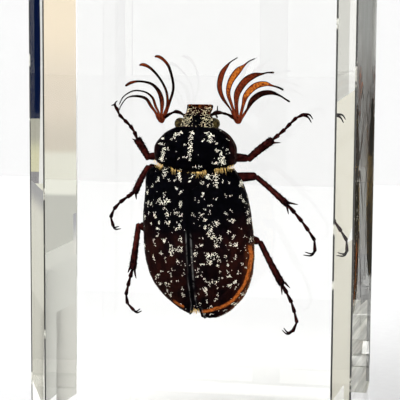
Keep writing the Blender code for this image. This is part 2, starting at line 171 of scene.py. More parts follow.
def push(points: np.ndarray, amount: np.ndarray, outward: int) -> np.ndarray:
    """Move a grid of points along its own normals.

    Args:
        points: the grid, rows by columns by x, y and z.
        amount: how far each point moves, in millimetres.
        outward: 1 or -1, the sign that makes the normals point out.
    """
    along = np.gradient(points, axis=0)
    across = np.gradient(points, axis=1)
    normal = np.cross(along, across)
    length = np.linalg.norm(normal, axis=-1, keepdims=True)
    return points + outward * normal / np.maximum(length, 1e-9) * amount[..., None]


def turns(count: int) -> np.ndarray:
    """Return evenly spaced angles once round, in radians."""
    return np.arange(count) / count * math.tau


def arc_length(points: np.ndarray) -> np.ndarray:
    """Return how far each column of a grid is from the first, along its row."""
    steps = np.linalg.norm(np.diff(points, axis=1), axis=-1)
    return np.concatenate([np.zeros((len(points), 1)), np.cumsum(steps, axis=1)], axis=1)


# ----------------------------------------
# Meshes
# ----------------------------------------


def placed(name: str, data: bpy.types.ID) -> bpy.types.Object:
    """Make an object that holds some data, and put it in the scene."""
    made = bpy.data.objects.new(name, data)
    bpy.context.scene.collection.objects.link(made)
    return made


@dataclass
class Skin:
    """Points, faces and point values that become one piece."""

    points: list = field(default_factory=list)
    faces: list = field(default_factory=list)
    values: dict = field(default_factory=dict)
    count: int = 0

    def grid(self, points: np.ndarray, wrap: bool = True, caps: bool = True, **values: object) -> None:
        """Add a grid of points as a skin of four-sided faces.

        Args:
            points: rows by columns by x, y and z, in millimetres.
            wrap: whether the last column joins the first.
            caps: whether the first and last rows are closed by one face each.
            **values: named numbers for the points, one for all of them or one for each.
        """
        rows, columns = points.shape[:2]
        start = self.count
        index = start + np.arange(rows * columns).reshape(rows, columns)
        beside = np.roll(index, -1, axis=1) if wrap else index[:, 1:]
        here = index if wrap else index[:, :-1]
        quads = np.stack([here[:-1], beside[:-1], beside[1:], here[1:]], axis=-1)
        self.faces += quads.reshape(-1, 4).tolist()
        if wrap and caps:
            self.faces += [index[0][::-1].tolist(), index[-1].tolist()]
        self.points.append(points.reshape(-1, 3))
        self.count += rows * columns
        for name in set(self.values) | set(values):
            given = np.broadcast_to(np.asarray(values.get(name, 0.0), float), (rows, columns)).ravel()
            self.values.setdefault(name, [np.zeros(start)] if start else []).append(given)

    def piece(self, name: str, material: bpy.types.Material) -> bpy.types.Object:
        """Make the piece, with its place in its mesh and its faces pointing out."""
        mesh = bpy.data.meshes.new(name)
        mesh.from_pydata(LAYOUT.world(np.vstack(self.points)), [], self.faces)
        for label, parts in self.values.items():
            layer = mesh.attributes.new(label, "FLOAT", "POINT")
            layer.data.foreach_set("value", np.concatenate(parts).astype(np.float32))
        edited = bmesh.new()
        edited.from_mesh(mesh)
        bmesh.ops.recalc_face_normals(edited, faces=edited.faces)
        edited.to_mesh(mesh)
        edited.free()
        mesh.shade_smooth()
        mesh.materials.append(material)
        return placed(name, mesh)


def skin_of(
    name: str, points: np.ndarray, material: bpy.types.Material, **values: object,
) -> bpy.types.Object:
    """Make a piece of one grid of points, with the same values as for Skin.grid."""
    skin = Skin()
    skin.grid(points, **values)
    return skin.piece(name, material)


def plain_mesh(source: bpy.types.Object, name: str) -> bpy.types.Object:
    """Turn an object's evaluated form into a plain mesh of its own, and remove the object."""
    bpy.context.view_layer.update()
    evaluated = source.evaluated_get(bpy.context.evaluated_depsgraph_get())
    mesh = bpy.data.meshes.new_from_object(evaluated)
    mesh.name = name
    bpy.data.objects.remove(source)
    return placed(name, mesh)


def thicken(piece: bpy.types.Object, thickness: float) -> bpy.types.Object:
    """Give an open skin a wall that grows inwards, in millimetres."""
    wall = piece.modifiers.new("wall", "SOLIDIFY")
    wall.thickness = thickness * MM
    wall.offset = -1.0
    return plain_mesh(piece, piece.name)


def tube(
    route: np.ndarray,
    widths: np.ndarray,
    depths: np.ndarray | None = None,
    sides: int = 12,
    twist: np.ndarray | float = 0.0,
    cup: float = 0.0,
) -> np.ndarray:
    """Lay rings of points along a route.

    Args:
        route: the points of the centre line.
        widths: how wide each ring is across, as the viewer sees it.
        depths: how deep each ring is, or None where it is round.
        sides: how many points a ring has.
        twist: how far each ring is turned about the route, in radians.
        cup: how far the middle of each ring is pushed in, as a share of its width.

    Returns:
        A grid of points, one row for each ring.
    """
    depths = widths if depths is None else depths
    along = np.gradient(route, axis=0)
    along /= np.linalg.norm(along, axis=1, keepdims=True)
    across = np.cross(along, [0.0, -1.0, 0.0])
    across /= np.linalg.norm(across, axis=1, keepdims=True)
    through = np.cross(across, along)
    turn = np.broadcast_to(twist, (len(route),))[:, None]
    wide = across * np.cos(turn) + through * np.sin(turn)
    deep = through * np.cos(turn) - across * np.sin(turn)
    angles = turns(sides)
    reach = np.cos(angles)[None, :] * widths[:, None] / 2
    height = np.sin(angles)[None, :] * depths[:, None] / 2
    height = height - cup * (1 - np.cos(angles) ** 2) * widths[:, None]
    return route[:, None] + wide[:, None] * reach[..., None] + deep[:, None] * height[..., None]


def shares(route: np.ndarray) -> np.ndarray:
    """Return numbers that go from 0 to 1 along the rows of a route."""
    return np.linspace(0.0, 1.0, len(route))


def rounded(share: np.ndarray, blunt: float = 0.06) -> np.ndarray:
    """Return a factor that rounds off both ends of a run that goes from 0 to 1."""
    near = np.clip(np.minimum(share, 1.0 - share) / blunt, 0.0, 1.0)
    return np.maximum(np.sqrt(1.0 - (1.0 - near) ** 2), 0.08)


# ----------------------------------------
# Node trees
# ----------------------------------------


class Sheet:
    """A node tree with one short call for adding a node and joining its sockets."""

    def __init__(self, tree: bpy.types.NodeTree) -> None:
        """Work on a node tree."""
        self.tree = tree

    def add(self, kind: str, inputs: dict | None = None, **settings: object) -> bpy.types.Node:
        """Add a node.

        Args:
            kind: the node's type.
            inputs: values or sockets for its inputs, by name or number.
            **settings: values for its own properties.
        """
        node = self.tree.nodes.new(kind)
        for key, value in settings.items():
            setattr(node, key, value)
        for key, value in (inputs or {}).items():
            if isinstance(value, bpy.types.NodeSocket):
                self.tree.links.new(value, node.inputs[key])
            else:
                node.inputs[key].default_value = value
        return node

    def out(self, kind: str, inputs: dict | None = None, **settings: object) -> bpy.types.NodeSocket:
        """Add a node and return its first output."""
        return self.add(kind, inputs, **settings).outputs[0]

    def maths(self, operation: str, first: object, second: object = 0.0) -> bpy.types.NodeSocket:
        """Add a sum, product or other operation on two numbers."""
        return self.out("ShaderNodeMath", {0: first, 1: second}, operation=operation)

    def vectors(self, operation: str, first: object, second: object) -> bpy.types.Node:
        """Add an operation on two vectors, or on a vector and the number that scales it."""
        other = "Scale" if operation == "SCALE" else 1
        return self.add("ShaderNodeVectorMath", {0: first, other: second}, operation=operation)

    def triple(self, x: object, y: object, z: object) -> bpy.types.NodeSocket:
        """Join three numbers to a vector."""
        return self.out("ShaderNodeCombineXYZ", {0: x, 1: y, 2: z})

    def between(
        self, value: object, low: float, high: float, first: float = 0.0, last: float = 1.0,
    ) -> bpy.types.NodeSocket:
        """Map a range of numbers onto another, smoothly and within its ends."""
        return self.out("ShaderNodeMapRange", {
            "Value": value, "From Min": low, "From Max": high, "To Min": first, "To Max": last,
        }, interpolation_type="SMOOTHSTEP")


class Growth(Sheet):
    """A Geometry Nodes tree with named inputs, run once on a guide mesh."""

    def __init__(self, name: str, inputs: dict[str, object]) -> None:
        """Make the tree.

        Args:
            name: the tree's name.
            inputs: the inputs' names and usual values. Each is a number, a whole number, a triple, or
                None for an object.
        """
        super().__init__(bpy.data.node_groups.new(name, "GeometryNodeTree"))
        kinds = {float: "Float", int: "Int", tuple: "Vector", type(None): "Object"}
        face = self.tree.interface
        face.new_socket("Geometry", in_out="OUTPUT", socket_type="NodeSocketGeometry")
        face.new_socket("Geometry", in_out="INPUT", socket_type="NodeSocketGeometry")
        self.keys = {}
        for label, value in inputs.items():
            socket = face.new_socket(label, in_out="INPUT", socket_type=f"NodeSocket{kinds[type(value)]}")
            if value is not None:
                socket.default_value = value
            self.keys[label] = socket.identifier
        self.given = self.add("NodeGroupInput").outputs

    def finish(self, instances: bpy.types.NodeSocket, material: bpy.types.Material) -> None:
        """End the tree with real meshes that wear a material."""
        real = self.out("GeometryNodeRealizeInstances", {"Geometry": instances})
        shaded = self.out("GeometryNodeSetShadeSmooth", {"Geometry": real, "Shade Smooth": True})
        dressed = self.add("GeometryNodeSetMaterial", {"Geometry": shaded, "Material": material})
        self.add("NodeGroupOutput", {"Geometry": dressed.outputs[0]})

    def plant(
        self, points: object, pattern: object, turn: object, size: object, material: bpy.types.Material,
        **others: object,
    ) -> None:
        """End the tree with a copy of a pattern on each point.

        Args:
            points: the points.
            pattern: what stands on them.
            turn: how each copy is turned.
            size: its size along its own axes.
            material: what the copies wear.
            **others: values for the node's other inputs.
        """
        self.finish(self.out("GeometryNodeInstanceOnPoints", {
            "Points": points, "Instance": pattern, "Rotation": turn, "Scale": size, **others,
        }), material)

    def attribute(self, name: str, kind: str = "FLOAT") -> bpy.types.NodeSocket:
        """Read one of the guide's point values."""
        return self.out("GeometryNodeInputNamedAttribute", {"Name": name}, data_type=kind)

    def chance(self, low: object, high: object, seed: int, kind: str = "FLOAT") -> bpy.types.NodeSocket:
        """Return a random value between two, with a fixed seed."""
        node = self.add("FunctionNodeRandomValue", data_type=kind)
        for label, value in (("Min", low), ("Max", high), ("Seed", seed)):
            next(s for s in node.inputs if s.name == label and s.enabled).default_value = value
        return next(s for s in node.outputs if s.enabled)

    def run(self, guide: bpy.types.Object, name: str, **values: object) -> bpy.types.Object:
        """Grow the tree's pieces on a guide.

        Args:
            guide: the object that carries the point values. It is removed.
            name: the name of the new piece.
            **values: values for the inputs, with underscores for the spaces in their names.
        """
        growth = guide.modifiers.new(self.tree.name, "NODES")
        growth.node_group = self.tree
        for label, value in values.items():
            growth[self.keys[label.replace("_", " ")]] = value
        return plain_mesh(guide, name)


def copy_of(piece: bpy.types.Object) -> bpy.types.Object:
    """Return a loose copy of a piece, to serve as a guide."""
    return placed(f"{piece.name}_guide", piece.data.copy())


class ScaleGrowth(Growth):
    """Lays small flat scales on a mesh in winding veins, which are broad where its value "scales" is high.

    Attributes:
        tilt: how far a scale leans at most, in radians.
        sizes: the shortest and longest scale, as shares of the length asked for.
    """

    tilt: float = 0.3
    sizes: Row = (0.7, 1.25)

    def __init__(self, material: bpy.types.Material) -> None:
        """Build the tree for one kind of scale."""
        super().__init__("scale cover", {
            "Spacing": 0.055, "Density": 280.0, "Length": 0.10, "Width": 0.048, "Height": 0.02,
            "Vein size": 0.30, "Vein width": 0.048, "Stretch": (1.15, 1.0, 0.75), "Seed": 1,
        })
        given = self.given
        metres = self.maths("MULTIPLY", given["Spacing"], MM)
        crowd = self.maths("DIVIDE", given["Density"], MM * MM)
        spread = self.add("GeometryNodeDistributePointsOnFaces", {
            "Mesh": given["Geometry"], "Distance Min": metres, "Density Max": crowd,
            "Density Factor": self.attribute("scales"), "Seed": given["Seed"],
        }, distribute_method="POISSON").outputs
        flake = self.out("GeometryNodeMeshIcoSphere", {"Radius": MM, "Subdivisions": 1})
        place = self.out("GeometryNodeInputPosition")
        drawn = self.vectors("MULTIPLY", place, given["Stretch"]).outputs[0]
        veins = self.out("ShaderNodeTexNoise", {
            "Vector": drawn, "Scale": self.maths("DIVIDE", 1.0 / MM, given["Vein size"]), "Detail": 1.0,
        })
        aside = self.maths("ABSOLUTE", self.maths("SUBTRACT", veins, 0.5))
        room = self.maths("MULTIPLY", given["Vein width"], self.attribute("scales"))
        tilts = [self.chance(-self.tilt, self.tilt, seed) for seed in (5, 6)]
        turn = self.triple(*tilts, self.chance(0.0, math.tau, 7))
        lean = self.out("FunctionNodeEulerToRotation", {0: turn})
        aim = self.add("FunctionNodeRotateRotation", {
            0: spread["Rotation"], 1: lean,
        }, rotation_space="LOCAL")
        long = self.maths("MULTIPLY", given["Length"], self.chance(*self.sizes, 8))
        shape = self.triple(long, given["Width"], given["Height"])
        kept = self.maths("LESS_THAN", aside, room)
        self.plant(spread["Points"], flake, aim.outputs[0], shape, material, Selection=kept)


class HairGrowth(Growth):
    """Plants fine tapered hairs on a mesh, where its value "hair" is high.

    Attributes:
        sizes: the shortest and longest hair, as shares of the length asked for.
    """

    sizes: Row = (0.55, 1.15)

    def __init__(self, material: bpy.types.Material) -> None:
        """Build the tree for one colour of hair."""
        super().__init__("hair coat", {
            "Density": 30.0, "Length": 0.8, "Girth": 0.03, "Lay": 0.6, "Direction": (0.0, 0.0, -1.0),
            "Spread": 0.3, "Seed": 1,
        })
        given = self.given
        crowd = self.maths("DIVIDE", given["Density"], MM * MM)
        crowd = self.maths("MULTIPLY", crowd, self.attribute("hair"))
        spread = self.add("GeometryNodeDistributePointsOnFaces", {
            "Mesh": given["Geometry"], "Density": crowd, "Seed": given["Seed"],
        }, distribute_method="RANDOM").outputs
        mix = self.add("ShaderNodeMix", data_type="VECTOR")
        self.tree.links.new(given["Lay"], mix.inputs["Factor"])
        self.tree.links.new(spread["Normal"], mix.inputs[4])
        self.tree.links.new(given["Direction"], mix.inputs[5])
        stray = self.chance((-1.0, -1.0, -1.0), (1.0, 1.0, 1.0), 3, "FLOAT_VECTOR")
        stray = self.vectors("SCALE", stray, given["Spread"]).outputs[0]
        aim = self.vectors("ADD", mix.outputs[1], stray).outputs[0]
        turn = self.out("FunctionNodeAlignRotationToVector", {"Vector": aim}, axis="Z")
        strand = self.out("GeometryNodeMeshCone", {
            "Vertices": 4, "Radius Top": 0.15 * MM, "Radius Bottom": 0.5 * MM, "Depth": MM,
        })
        long = self.maths("MULTIPLY", given["Length"], self.chance(*self.sizes, 4))
        shape = self.triple(given["Girth"], given["Girth"], long)
        self.plant(spread["Points"], strand, turn, shape, material)


class JointGrowth(Growth):
    """Sets one joint on each point of a guide, along its values "aim", "reach" and "girth"."""

    def __init__(self, material: bpy.types.Material) -> None:
        """Build the tree for one kind of joint."""
        super().__init__("joint row", {"Joint": None})
        given = self.given
        joint = self.add("GeometryNodeObjectInfo", {"Object": given["Joint"]}).outputs["Geometry"]
        turn = self.out("FunctionNodeAlignRotationToVector", {
            "Vector": self.attribute("aim", "FLOAT_VECTOR"),
        }, axis="Z")
        girth = self.attribute("girth")
        shape = self.triple(girth, girth, self.attribute("reach"))
        self.plant(given["Geometry"], joint, turn, shape, material)


class EyeGrowth(Growth):
    """Makes a ball of six-sided facets."""

    def __init__(self, material: bpy.types.Material) -> None:
        """Build the tree for one eye."""
        super().__init__("faceted eye", {"Radius": 1.0, "Facet height": 0.02, "Facet crown": 0.6})
        given = self.given
        radius = self.maths("MULTIPLY", given["Radius"], MM)
        ball = self.out("GeometryNodeMeshIcoSphere", {"Radius": radius, "Subdivisions": 4})
        cells = self.out("GeometryNodeDualMesh", {"Mesh": ball})
        height = self.maths("MULTIPLY", given["Facet height"], MM)
        domes = self.add("GeometryNodeExtrudeMesh", {
            "Mesh": cells, "Offset Scale": height, "Individual": True,
        }, mode="FACES").outputs
        crowned = self.out("GeometryNodeScaleElements", {
            "Geometry": domes["Mesh"], "Selection": domes["Top"], "Scale": given["Facet crown"],
        }, domain="FACE")
        self.finish(crowned, material)


# ----------------------------------------
# Finishes
# ----------------------------------------


class Paint(Sheet):
    """A material's node tree around one shader, in the piece's own coordinates."""

    def __init__(self, name: str) -> None:
        """Make an empty material with its shader."""
        self.material = bpy.data.materials.new(name)
        self.material.use_nodes = True
        super().__init__(self.material.node_tree)
        self.shader = self.tree.nodes["Principled BSDF"]
        self.output = self.tree.nodes["Material Output"]
        self.place = self.add("ShaderNodeTexCoord").outputs["Object"]

    def grain(
        self, size: float, detail: float = 2.0, stretch: Row = (1.0, 1.0, 1.0), turn: float = 0.0,
    ) -> bpy.types.NodeSocket:
        """Return noise from 0 to 1.

        Args:
            size: how big its lumps are, in millimetres.
            detail: how many finer layers it has.
            stretch: factors for its fineness along x, y and z.
            turn: how far it is turned about z, in radians.
        """
        turned = self.add("ShaderNodeMapping", {"Vector": self.place, "Rotation": (0.0, 0.0, turn)})
        where = self.out("ShaderNodeMapping", {"Vector": turned.outputs[0], "Scale": stretch})
        return self.add("ShaderNodeTexNoise", {
            "Vector": where, "Scale": 1.0 / (size * MM), "Detail": detail, "Roughness": 0.6,
        }).outputs["Fac"]

    def pits(self, size: float) -> bpy.types.NodeSocket:
        """Return the distance to the nearest of many scattered points, for small round pits."""
        cells = self.add("ShaderNodeTexVoronoi", {"Vector": self.place, "Scale": 1.0 / (size * MM)})
        return cells.outputs["Distance"]

    def value(self, name: str) -> bpy.types.NodeSocket:
        """Read one of the mesh's point values."""
        return self.add("ShaderNodeAttribute", attribute_name=name).outputs["Fac"]

    def blend(self, share: object, first: object, second: object) -> bpy.types.NodeSocket:
        """Mix two colours."""
        node = self.add("ShaderNodeMix", data_type="RGBA")
        for number, value in ((0, share), (6, first), (7, second)):
            if isinstance(value, bpy.types.NodeSocket):
                self.tree.links.new(value, node.inputs[number])
            else:
                node.inputs[number].default_value = (*value, 1.0) if isinstance(value, tuple) else value
        return node.outputs[2]

    def relief(self, height: object, depth: float, strength: float = 1.0) -> None:
        """Give the surface a bump of some depth in millimetres."""
        bump = self.add("ShaderNodeBump", {"Height": height, "Distance": depth * MM, "Strength": strength})
        self.wear("Normal", bump.outputs[0])

    def coat(self, colour: object, index: float, patch: float, dullness: Row) -> None:
        """Wear a colour and a dullness that varies a little.

        Args:
            colour: the colour, or the socket that gives it.
            index: the refractive index.
            patch: the size of the patches of one dullness, in millimetres.
            dullness: the least and the greatest roughness.
        """
        self.wear("Base Color", colour)
        self.wear("IOR", index)
        self.wear("Roughness", self.between(self.grain(patch), *NOISE_SPAN, *dullness))

    def wear(self, name: str, value: object) -> None:
        """Set or join one of the shader's own sockets."""
        if isinstance(value, bpy.types.NodeSocket):
            self.tree.links.new(value, self.shader.inputs[name])
        elif isinstance(value, tuple):
            self.shader.inputs[name].default_value = (*value, 1.0)
        else:
            self.shader.inputs[name].default_value = value


@dataclass(frozen=True)
class ResinFinish:
    """Clear cast resin, with polished faces and ground bevels.

    Attributes:
        index: the refractive index.
        tint: the colour that a long way through the resin takes on.
        density: how strongly the resin absorbs, per metre.
        ground: the tint of the ground bevels.
        wave: the size of the polish's waves, in millimetres.
        wave_depth: how deep they are.
    """

    index: float = 1.5
    tint: Colour = (0.86, 0.87, 0.80)
    density: float = 3.0
    ground: Colour = (0.80, 0.79, 0.725)
    wave: float = 14.0
    wave_depth: float = 0.004

    def make(self) -> bpy.types.Material:
        """Make the material."""
        paint = Paint("clear resin")
        clear = paint.blend(paint.value("ground"), (1.0, 1.0, 1.0), self.ground)
        paint.wear("Base Color", clear)
        paint.wear("Transmission Weight", 1.0)
        paint.wear("IOR", self.index)
        paint.wear("Roughness", 0.0)
        paint.relief(paint.grain(self.wave, 1.0), self.wave_depth)
        inside = paint.out("ShaderNodeVolumeAbsorption", {
            "Color": (*self.tint, 1.0), "Density": self.density,
        })
        paint.tree.links.new(inside, paint.output.inputs["Volume"])
        return paint.material


@dataclass(frozen=True)
class ArrisFinish:
    """Painted shade along the block's edges: a dark finish on the broken arrises and the outer strip of the
    bevels, which stands in for the dark lines that the edges show, and lets clear resin through in patches
    where those lines break up.
    """

    dark: Colour = (0.012, 0.012, 0.010)
    nick: Colour = (0.45, 0.44, 0.38)
    index: float = 1.5
    clearest: float = 0.75
    nick_size: float = 4.0
    nick_span: Row = (0.58, 0.68)

    def make(self) -> bpy.types.Material:
        """Make the material."""
        paint = Paint("broken arris")
        clear_patches = paint.between(paint.grain(self.nick_size, 3.0), *self.nick_span)
        paint.coat(paint.blend(clear_patches, self.dark, self.nick), self.index, 0.4, (0.25, 0.5))
        paint.wear("Transmission Weight", paint.maths("MULTIPLY", clear_patches, self.clearest))
        return paint.material


@dataclass(frozen=True)
class ShellFinish:
    """Beetle shell: black, with brown where the value "brown" is high and orange along "rim"."""

    name: str
    black: Colour = (0.0004, 0.0004, 0.0009)
    brown: Colour = (0.0125, 0.0029, 0.0019)
    orange: Colour = (0.50, 0.125, 0.022)
    silver: Colour = (0.30, 0.30, 0.29)
    pit: float = 0.22
    pit_depth: float = 0.025
    dullness: Row = (0.32, 0.54)
    dust: Colour = (0.16, 0.17, 0.22)
    dustiness: float = 0.08

    def make(self) -> bpy.types.Material:
        """Make the material."""
        paint = Paint(self.name)
        cloud = paint.between(paint.grain(1.1, 3.0), 0.3, 0.7, 0.35, 1.25)
        brown = paint.maths("MULTIPLY", paint.value("brown"), cloud)
        colour = paint.blend(brown, self.black, self.brown)
        streak = paint.between(paint.grain(0.35, 3.0), 0.3, 0.65, 0.25, 1.1)
        rim = paint.maths("MULTIPLY", paint.value("rim"), streak)
        colour = paint.blend(rim, colour, self.orange)
        colour = paint.blend(paint.value("line"), colour, self.silver)
        dust = paint.between(paint.grain(0.16, 2.0), 0.72, 0.82, 0.0, self.dustiness)
        paint.coat(paint.blend(dust, colour, self.dust), WETTED, 0.6, self.dullness)
        pits = paint.between(paint.pits(self.pit), 0.05, 0.42)
        fine = paint.maths("MULTIPLY", paint.grain(0.09, 2.0), 0.35)
        paint.relief(paint.maths("ADD", pits, fine), self.pit_depth)
        return paint.material


@dataclass(frozen=True)
class ScaleFinish:
    """Cream scales, some whiter and some more yellow."""

    name: str
    pale: Colour = (0.95, 0.92, 0.80)
    deep: Colour = (0.80, 0.70, 0.42)
    share: float = 0.5

    def make(self) -> bpy.types.Material:
        """Make the material."""
        paint = Paint(self.name)
        patch = paint.between(paint.grain(0.9, 2.0), 0.5 - self.share / 2, 0.5 + self.share / 2 + 0.1)
        fleck = paint.between(paint.grain(0.12, 1.0), 0.35, 0.65, 0.0, 0.5)
        colour = paint.blend(paint.maths("MULTIPLY", patch, fleck), self.pale, self.deep)
        paint.coat(colour, WETTED, 0.2, (0.5, 0.7))
        paint.relief(paint.grain(0.03, 1.0, (1.0, 1.0, 0.2)), 0.006)
        return paint.material


@dataclass(frozen=True)
class HairFinish:
    """Fine hair, darker and lighter from strand to strand."""

    name: str
    pale: Colour = (0.88, 0.64, 0.24)
    deep: Colour = (0.55, 0.32, 0.08)

    def make(self) -> bpy.types.Material:
        """Make the material."""
        paint = Paint(self.name)
        strands = paint.between(paint.grain(0.25), 0.35, 0.65)
        paint.coat(paint.blend(strands, self.pale, self.deep), WETTED, 0.1, (0.35, 0.5))
        return paint.material


@dataclass(frozen=True)
class BladeFinish:
    """The blades of the feelers: near black at the edges, red brown and amber where "amber" is high."""

    dark: Colour = (0.0035, 0.0015, 0.0013)
    red: Colour = (0.105, 0.0165, 0.0062)
    amber: Colour = (0.36, 0.100, 0.013)

    def make(self) -> bpy.types.Material:
        """Make the material."""
        paint = Paint("feeler blade")
        mottle = paint.between(paint.grain(0.34, 4.0), 0.32, 0.68, 0.55, 1.2)
        glow = paint.maths("MULTIPLY", paint.value("amber"), mottle)
        first = paint.blend(paint.between(glow, 0.05, 0.45), self.dark, self.red)
        colour = paint.blend(paint.between(glow, 0.5, 0.95), first, self.amber)
        paint.coat(colour, WETTED, 0.3, (0.3, 0.45))
        paint.relief(paint.grain(0.06, 2.0), 0.008)
        return paint.material


@dataclass(frozen=True)
class EyeFinish:
    """Dried eyes, olive brown with a dull shine."""

    dark: Colour = (0.006, 0.004, 0.002)
    pale: Colour = (0.062, 0.046, 0.012)
    index: float = 1.12

    def make(self) -> bpy.types.Material:
        """Make the material."""
        paint = Paint("eye")
        cloud = paint.between(paint.grain(0.7, 2.0), 0.4, 0.65)
        paint.coat(paint.blend(cloud, self.dark, self.pale), self.index, 0.2, (0.2, 0.35))
        paint.relief(paint.grain(0.05, 1.0), 0.004)
        return paint.material


@dataclass(frozen=True)
class CardFinish:
    """Matt board or paper with a faint tooth, for the stage."""

    name: str
    colour: Colour
    tooth: float = 1.5
    contrast: float = 0.03
    index: float = 1.3

    def make(self) -> bpy.types.Material:
        """Make the material."""
        paint = Paint(self.name)
        shade = tuple(channel * (1.0 - self.contrast) for channel in self.colour)
        cloud = paint.grain(self.tooth * 8, 3.0)
        paint.coat(paint.blend(cloud, self.colour, shade), self.index, self.tooth, (0.8, 0.95))
        paint.relief(paint.grain(self.tooth, 3.0), 0.02)
        return paint.material


# ----------------------------------------
# The block
# ----------------------------------------


@dataclass
class ResinBlock:
    """The clear block, bevelled around its front face."""

    bevel_across: float = 2.6
    bevel_deep: float = 1.6
    worn: float = 0.32
    arris: float = 0.13

    def build(self, material: bpy.types.Material, edge_shade: bpy.types.Material) -> bpy.types.Object:
        """Build the block to the size of the CAD halves, with its arrises just broken, and painted shade on
        the outer strip of its bevels and on the broken arrises of its front half.
        """
        low, high = CAD_BOX
        deep = self.bevel_deep * MM
        shape = bmesh.new()
        bmesh.ops.create_cube(shape, size=1.0)
        size = high - low
        middle = (low + high) / 2
        bmesh.ops.scale(shape, verts=shape.verts, vec=(size.x, size.y - deep, size.z))
        bmesh.ops.translate(shape, verts=shape.verts, vec=(middle.x, middle.y + deep / 2, middle.z))
        shape.normal_update()
        face = min(shape.faces, key=lambda each: each.calc_center_median().y)
        # The bevel is made in two steps, so that its outer strip can wear the painted shade of the edges.
        share = self.worn / self.bevel_across
        strip = self.step_in(shape, face, share)
        self.step_in(shape, strip, 1.0 - share)
        ground = shape.faces.layers.float.new("ground")
        for each in shape.faces:
            slanted = 0.1 < -each.normal.y < 0.95
            each[ground] = 1.0 if slanted else 0.0
            # The outer strip of the bevels gets the painted shade.
            rim = max(corner.co.y for corner in each.verts) > low.y + deep - 1e-6
            each.material_index = 1 if slanted and rim else 0
        sharp = [edge for edge in shape.edges if edge.calc_face_angle() > 0.3]
        broken = bmesh.ops.bevel(
            shape, geom=sharp, offset=self.arris * MM, segments=2, profile=0.5, affect="EDGES",
        )
        # The broken arrises of the front half get the same painted shade.
        for each in broken["faces"]:
            each.material_index = 1 if each.calc_center_median().y < middle.y else 0
        bmesh.ops.recalc_face_normals(shape, faces=shape.faces)
        mesh = bpy.data.meshes.new("resin_block")
        shape.to_mesh(mesh)
        shape.free()
        mesh.materials.append(material)
        mesh.materials.append(edge_shade)
        return placed("resin_block", mesh)

    def step_in(
        self, shape: bmesh.types.BMesh, face: bmesh.types.BMFace, share: float,
    ) -> bmesh.types.BMFace:
        """Carry the front face forward and inward by a share of the bevel.

        Args:
            shape: the block.
            face: its front face, which the new ring of faces takes the place of.
            share: the share of the bevel's width and depth.

        Returns:
            The new front face.
        """
        middle = face.calc_center_median()
        across = self.bevel_across * MM * share
        raised = bmesh.ops.extrude_face_region(shape, geom=[face])["geom"]
        bmesh.ops.delete(shape, geom=[face], context="FACES_ONLY")
        for corner in (item for item in raised if isinstance(item, bmesh.types.BMVert)):
            corner.co.x -= math.copysign(across, corner.co.x - middle.x)
            corner.co.z -= math.copysign(across, corner.co.z - middle.z)
            corner.co.y -= self.bevel_deep * MM * share
        shape.normal_update()
        return next(item for item in raised if isinstance(item, bmesh.types.BMFace))


# ----------------------------------------
# The beetle's body
# ----------------------------------------


@dataclass(frozen=True)
class Trunk:
    """A run of rings along the body, each rolled about its own middle.

    Attributes:
        stations: rows of z, middle x, half width, height of the back, depth of the belly and bow.
        roll: how far the rings are rolled, in degrees.
        level: how high their middles lie, in millimetres.
        fullness: how boxy a ring is. 1 is an ellipse, and less is fuller at the corners.
        steps: how many rings there are between two stations.
    """

    stations: tuple[Row, ...]
    roll: float
    level: float
    fullness: float = 0.86
    steps: int = 12

    def rings(self, angles: np.ndarray) -> np.ndarray:
        """Return the points of every ring at some angles, with 90 degrees at the middle of the back."""
        z, middle, half, top, belly, bow = smooth(self.stations, self.steps).T[:, :, None]
        angles = np.broadcast_to(angles, (len(z), angles.shape[-1]))
        cosine, sine = np.cos(angles), np.sin(angles)
        across = np.sign(cosine) * np.abs(cosine) ** self.fullness * half
        rise = np.sign(sine) * np.abs(sine) ** self.fullness
        out = rise * np.where(rise > 0, top, belly)
        roll = math.radians(self.roll)
        x = middle + across * math.cos(roll) - out * math.sin(roll)
        lift = self.level + across * math.sin(roll) + out * math.cos(roll)
        return np.stack([x, -lift, z + bow * (across / half) ** 2], axis=-1)

    def closed(self, columns: int) -> tuple[np.ndarray, np.ndarray]:
        """Return full rings and their angles."""
        angles = turns(columns)
        grid = self.rings(angles)
        return grid, np.broadcast_to(angles, grid.shape[:2])


def cover_of(
    points: np.ndarray, marks: tuple[Row, ...], fill: float = 0.6, swell: float = 1.0, margin: float = 0.05,
) -> np.ndarray:
    """Return how broad the veins of scales are at some points, from 0 to about 1.4.

    Args:
        points: the points, in millimetres.
        marks: the patches of scales as x, z, width and height.
        fill: how broad they are at the edge of a patch.
        swell: a factor for the size of the patches.
        margin: how far every patch reaches further out, in millimetres.
    """
    x, z = points[..., 0], points[..., 2]
    fullest = np.full(x.shape, -1.0)
    for mark_x, mark_z, width, height in marks:
        half_width, half_height = (size * swell / 2 + margin for size in (width, height))
        away = np.hypot((x - mark_x) / half_width, (z - mark_z) / half_height)
        fullest = np.maximum(fullest, 1.0 - away)
    inside = ease(-0.04, 0.10, fullest + 0.42 * speckle(points, 0.24, 4.0))
    return inside * (fill + 0.8 * np.clip(fullest, 0.0, 1.0))


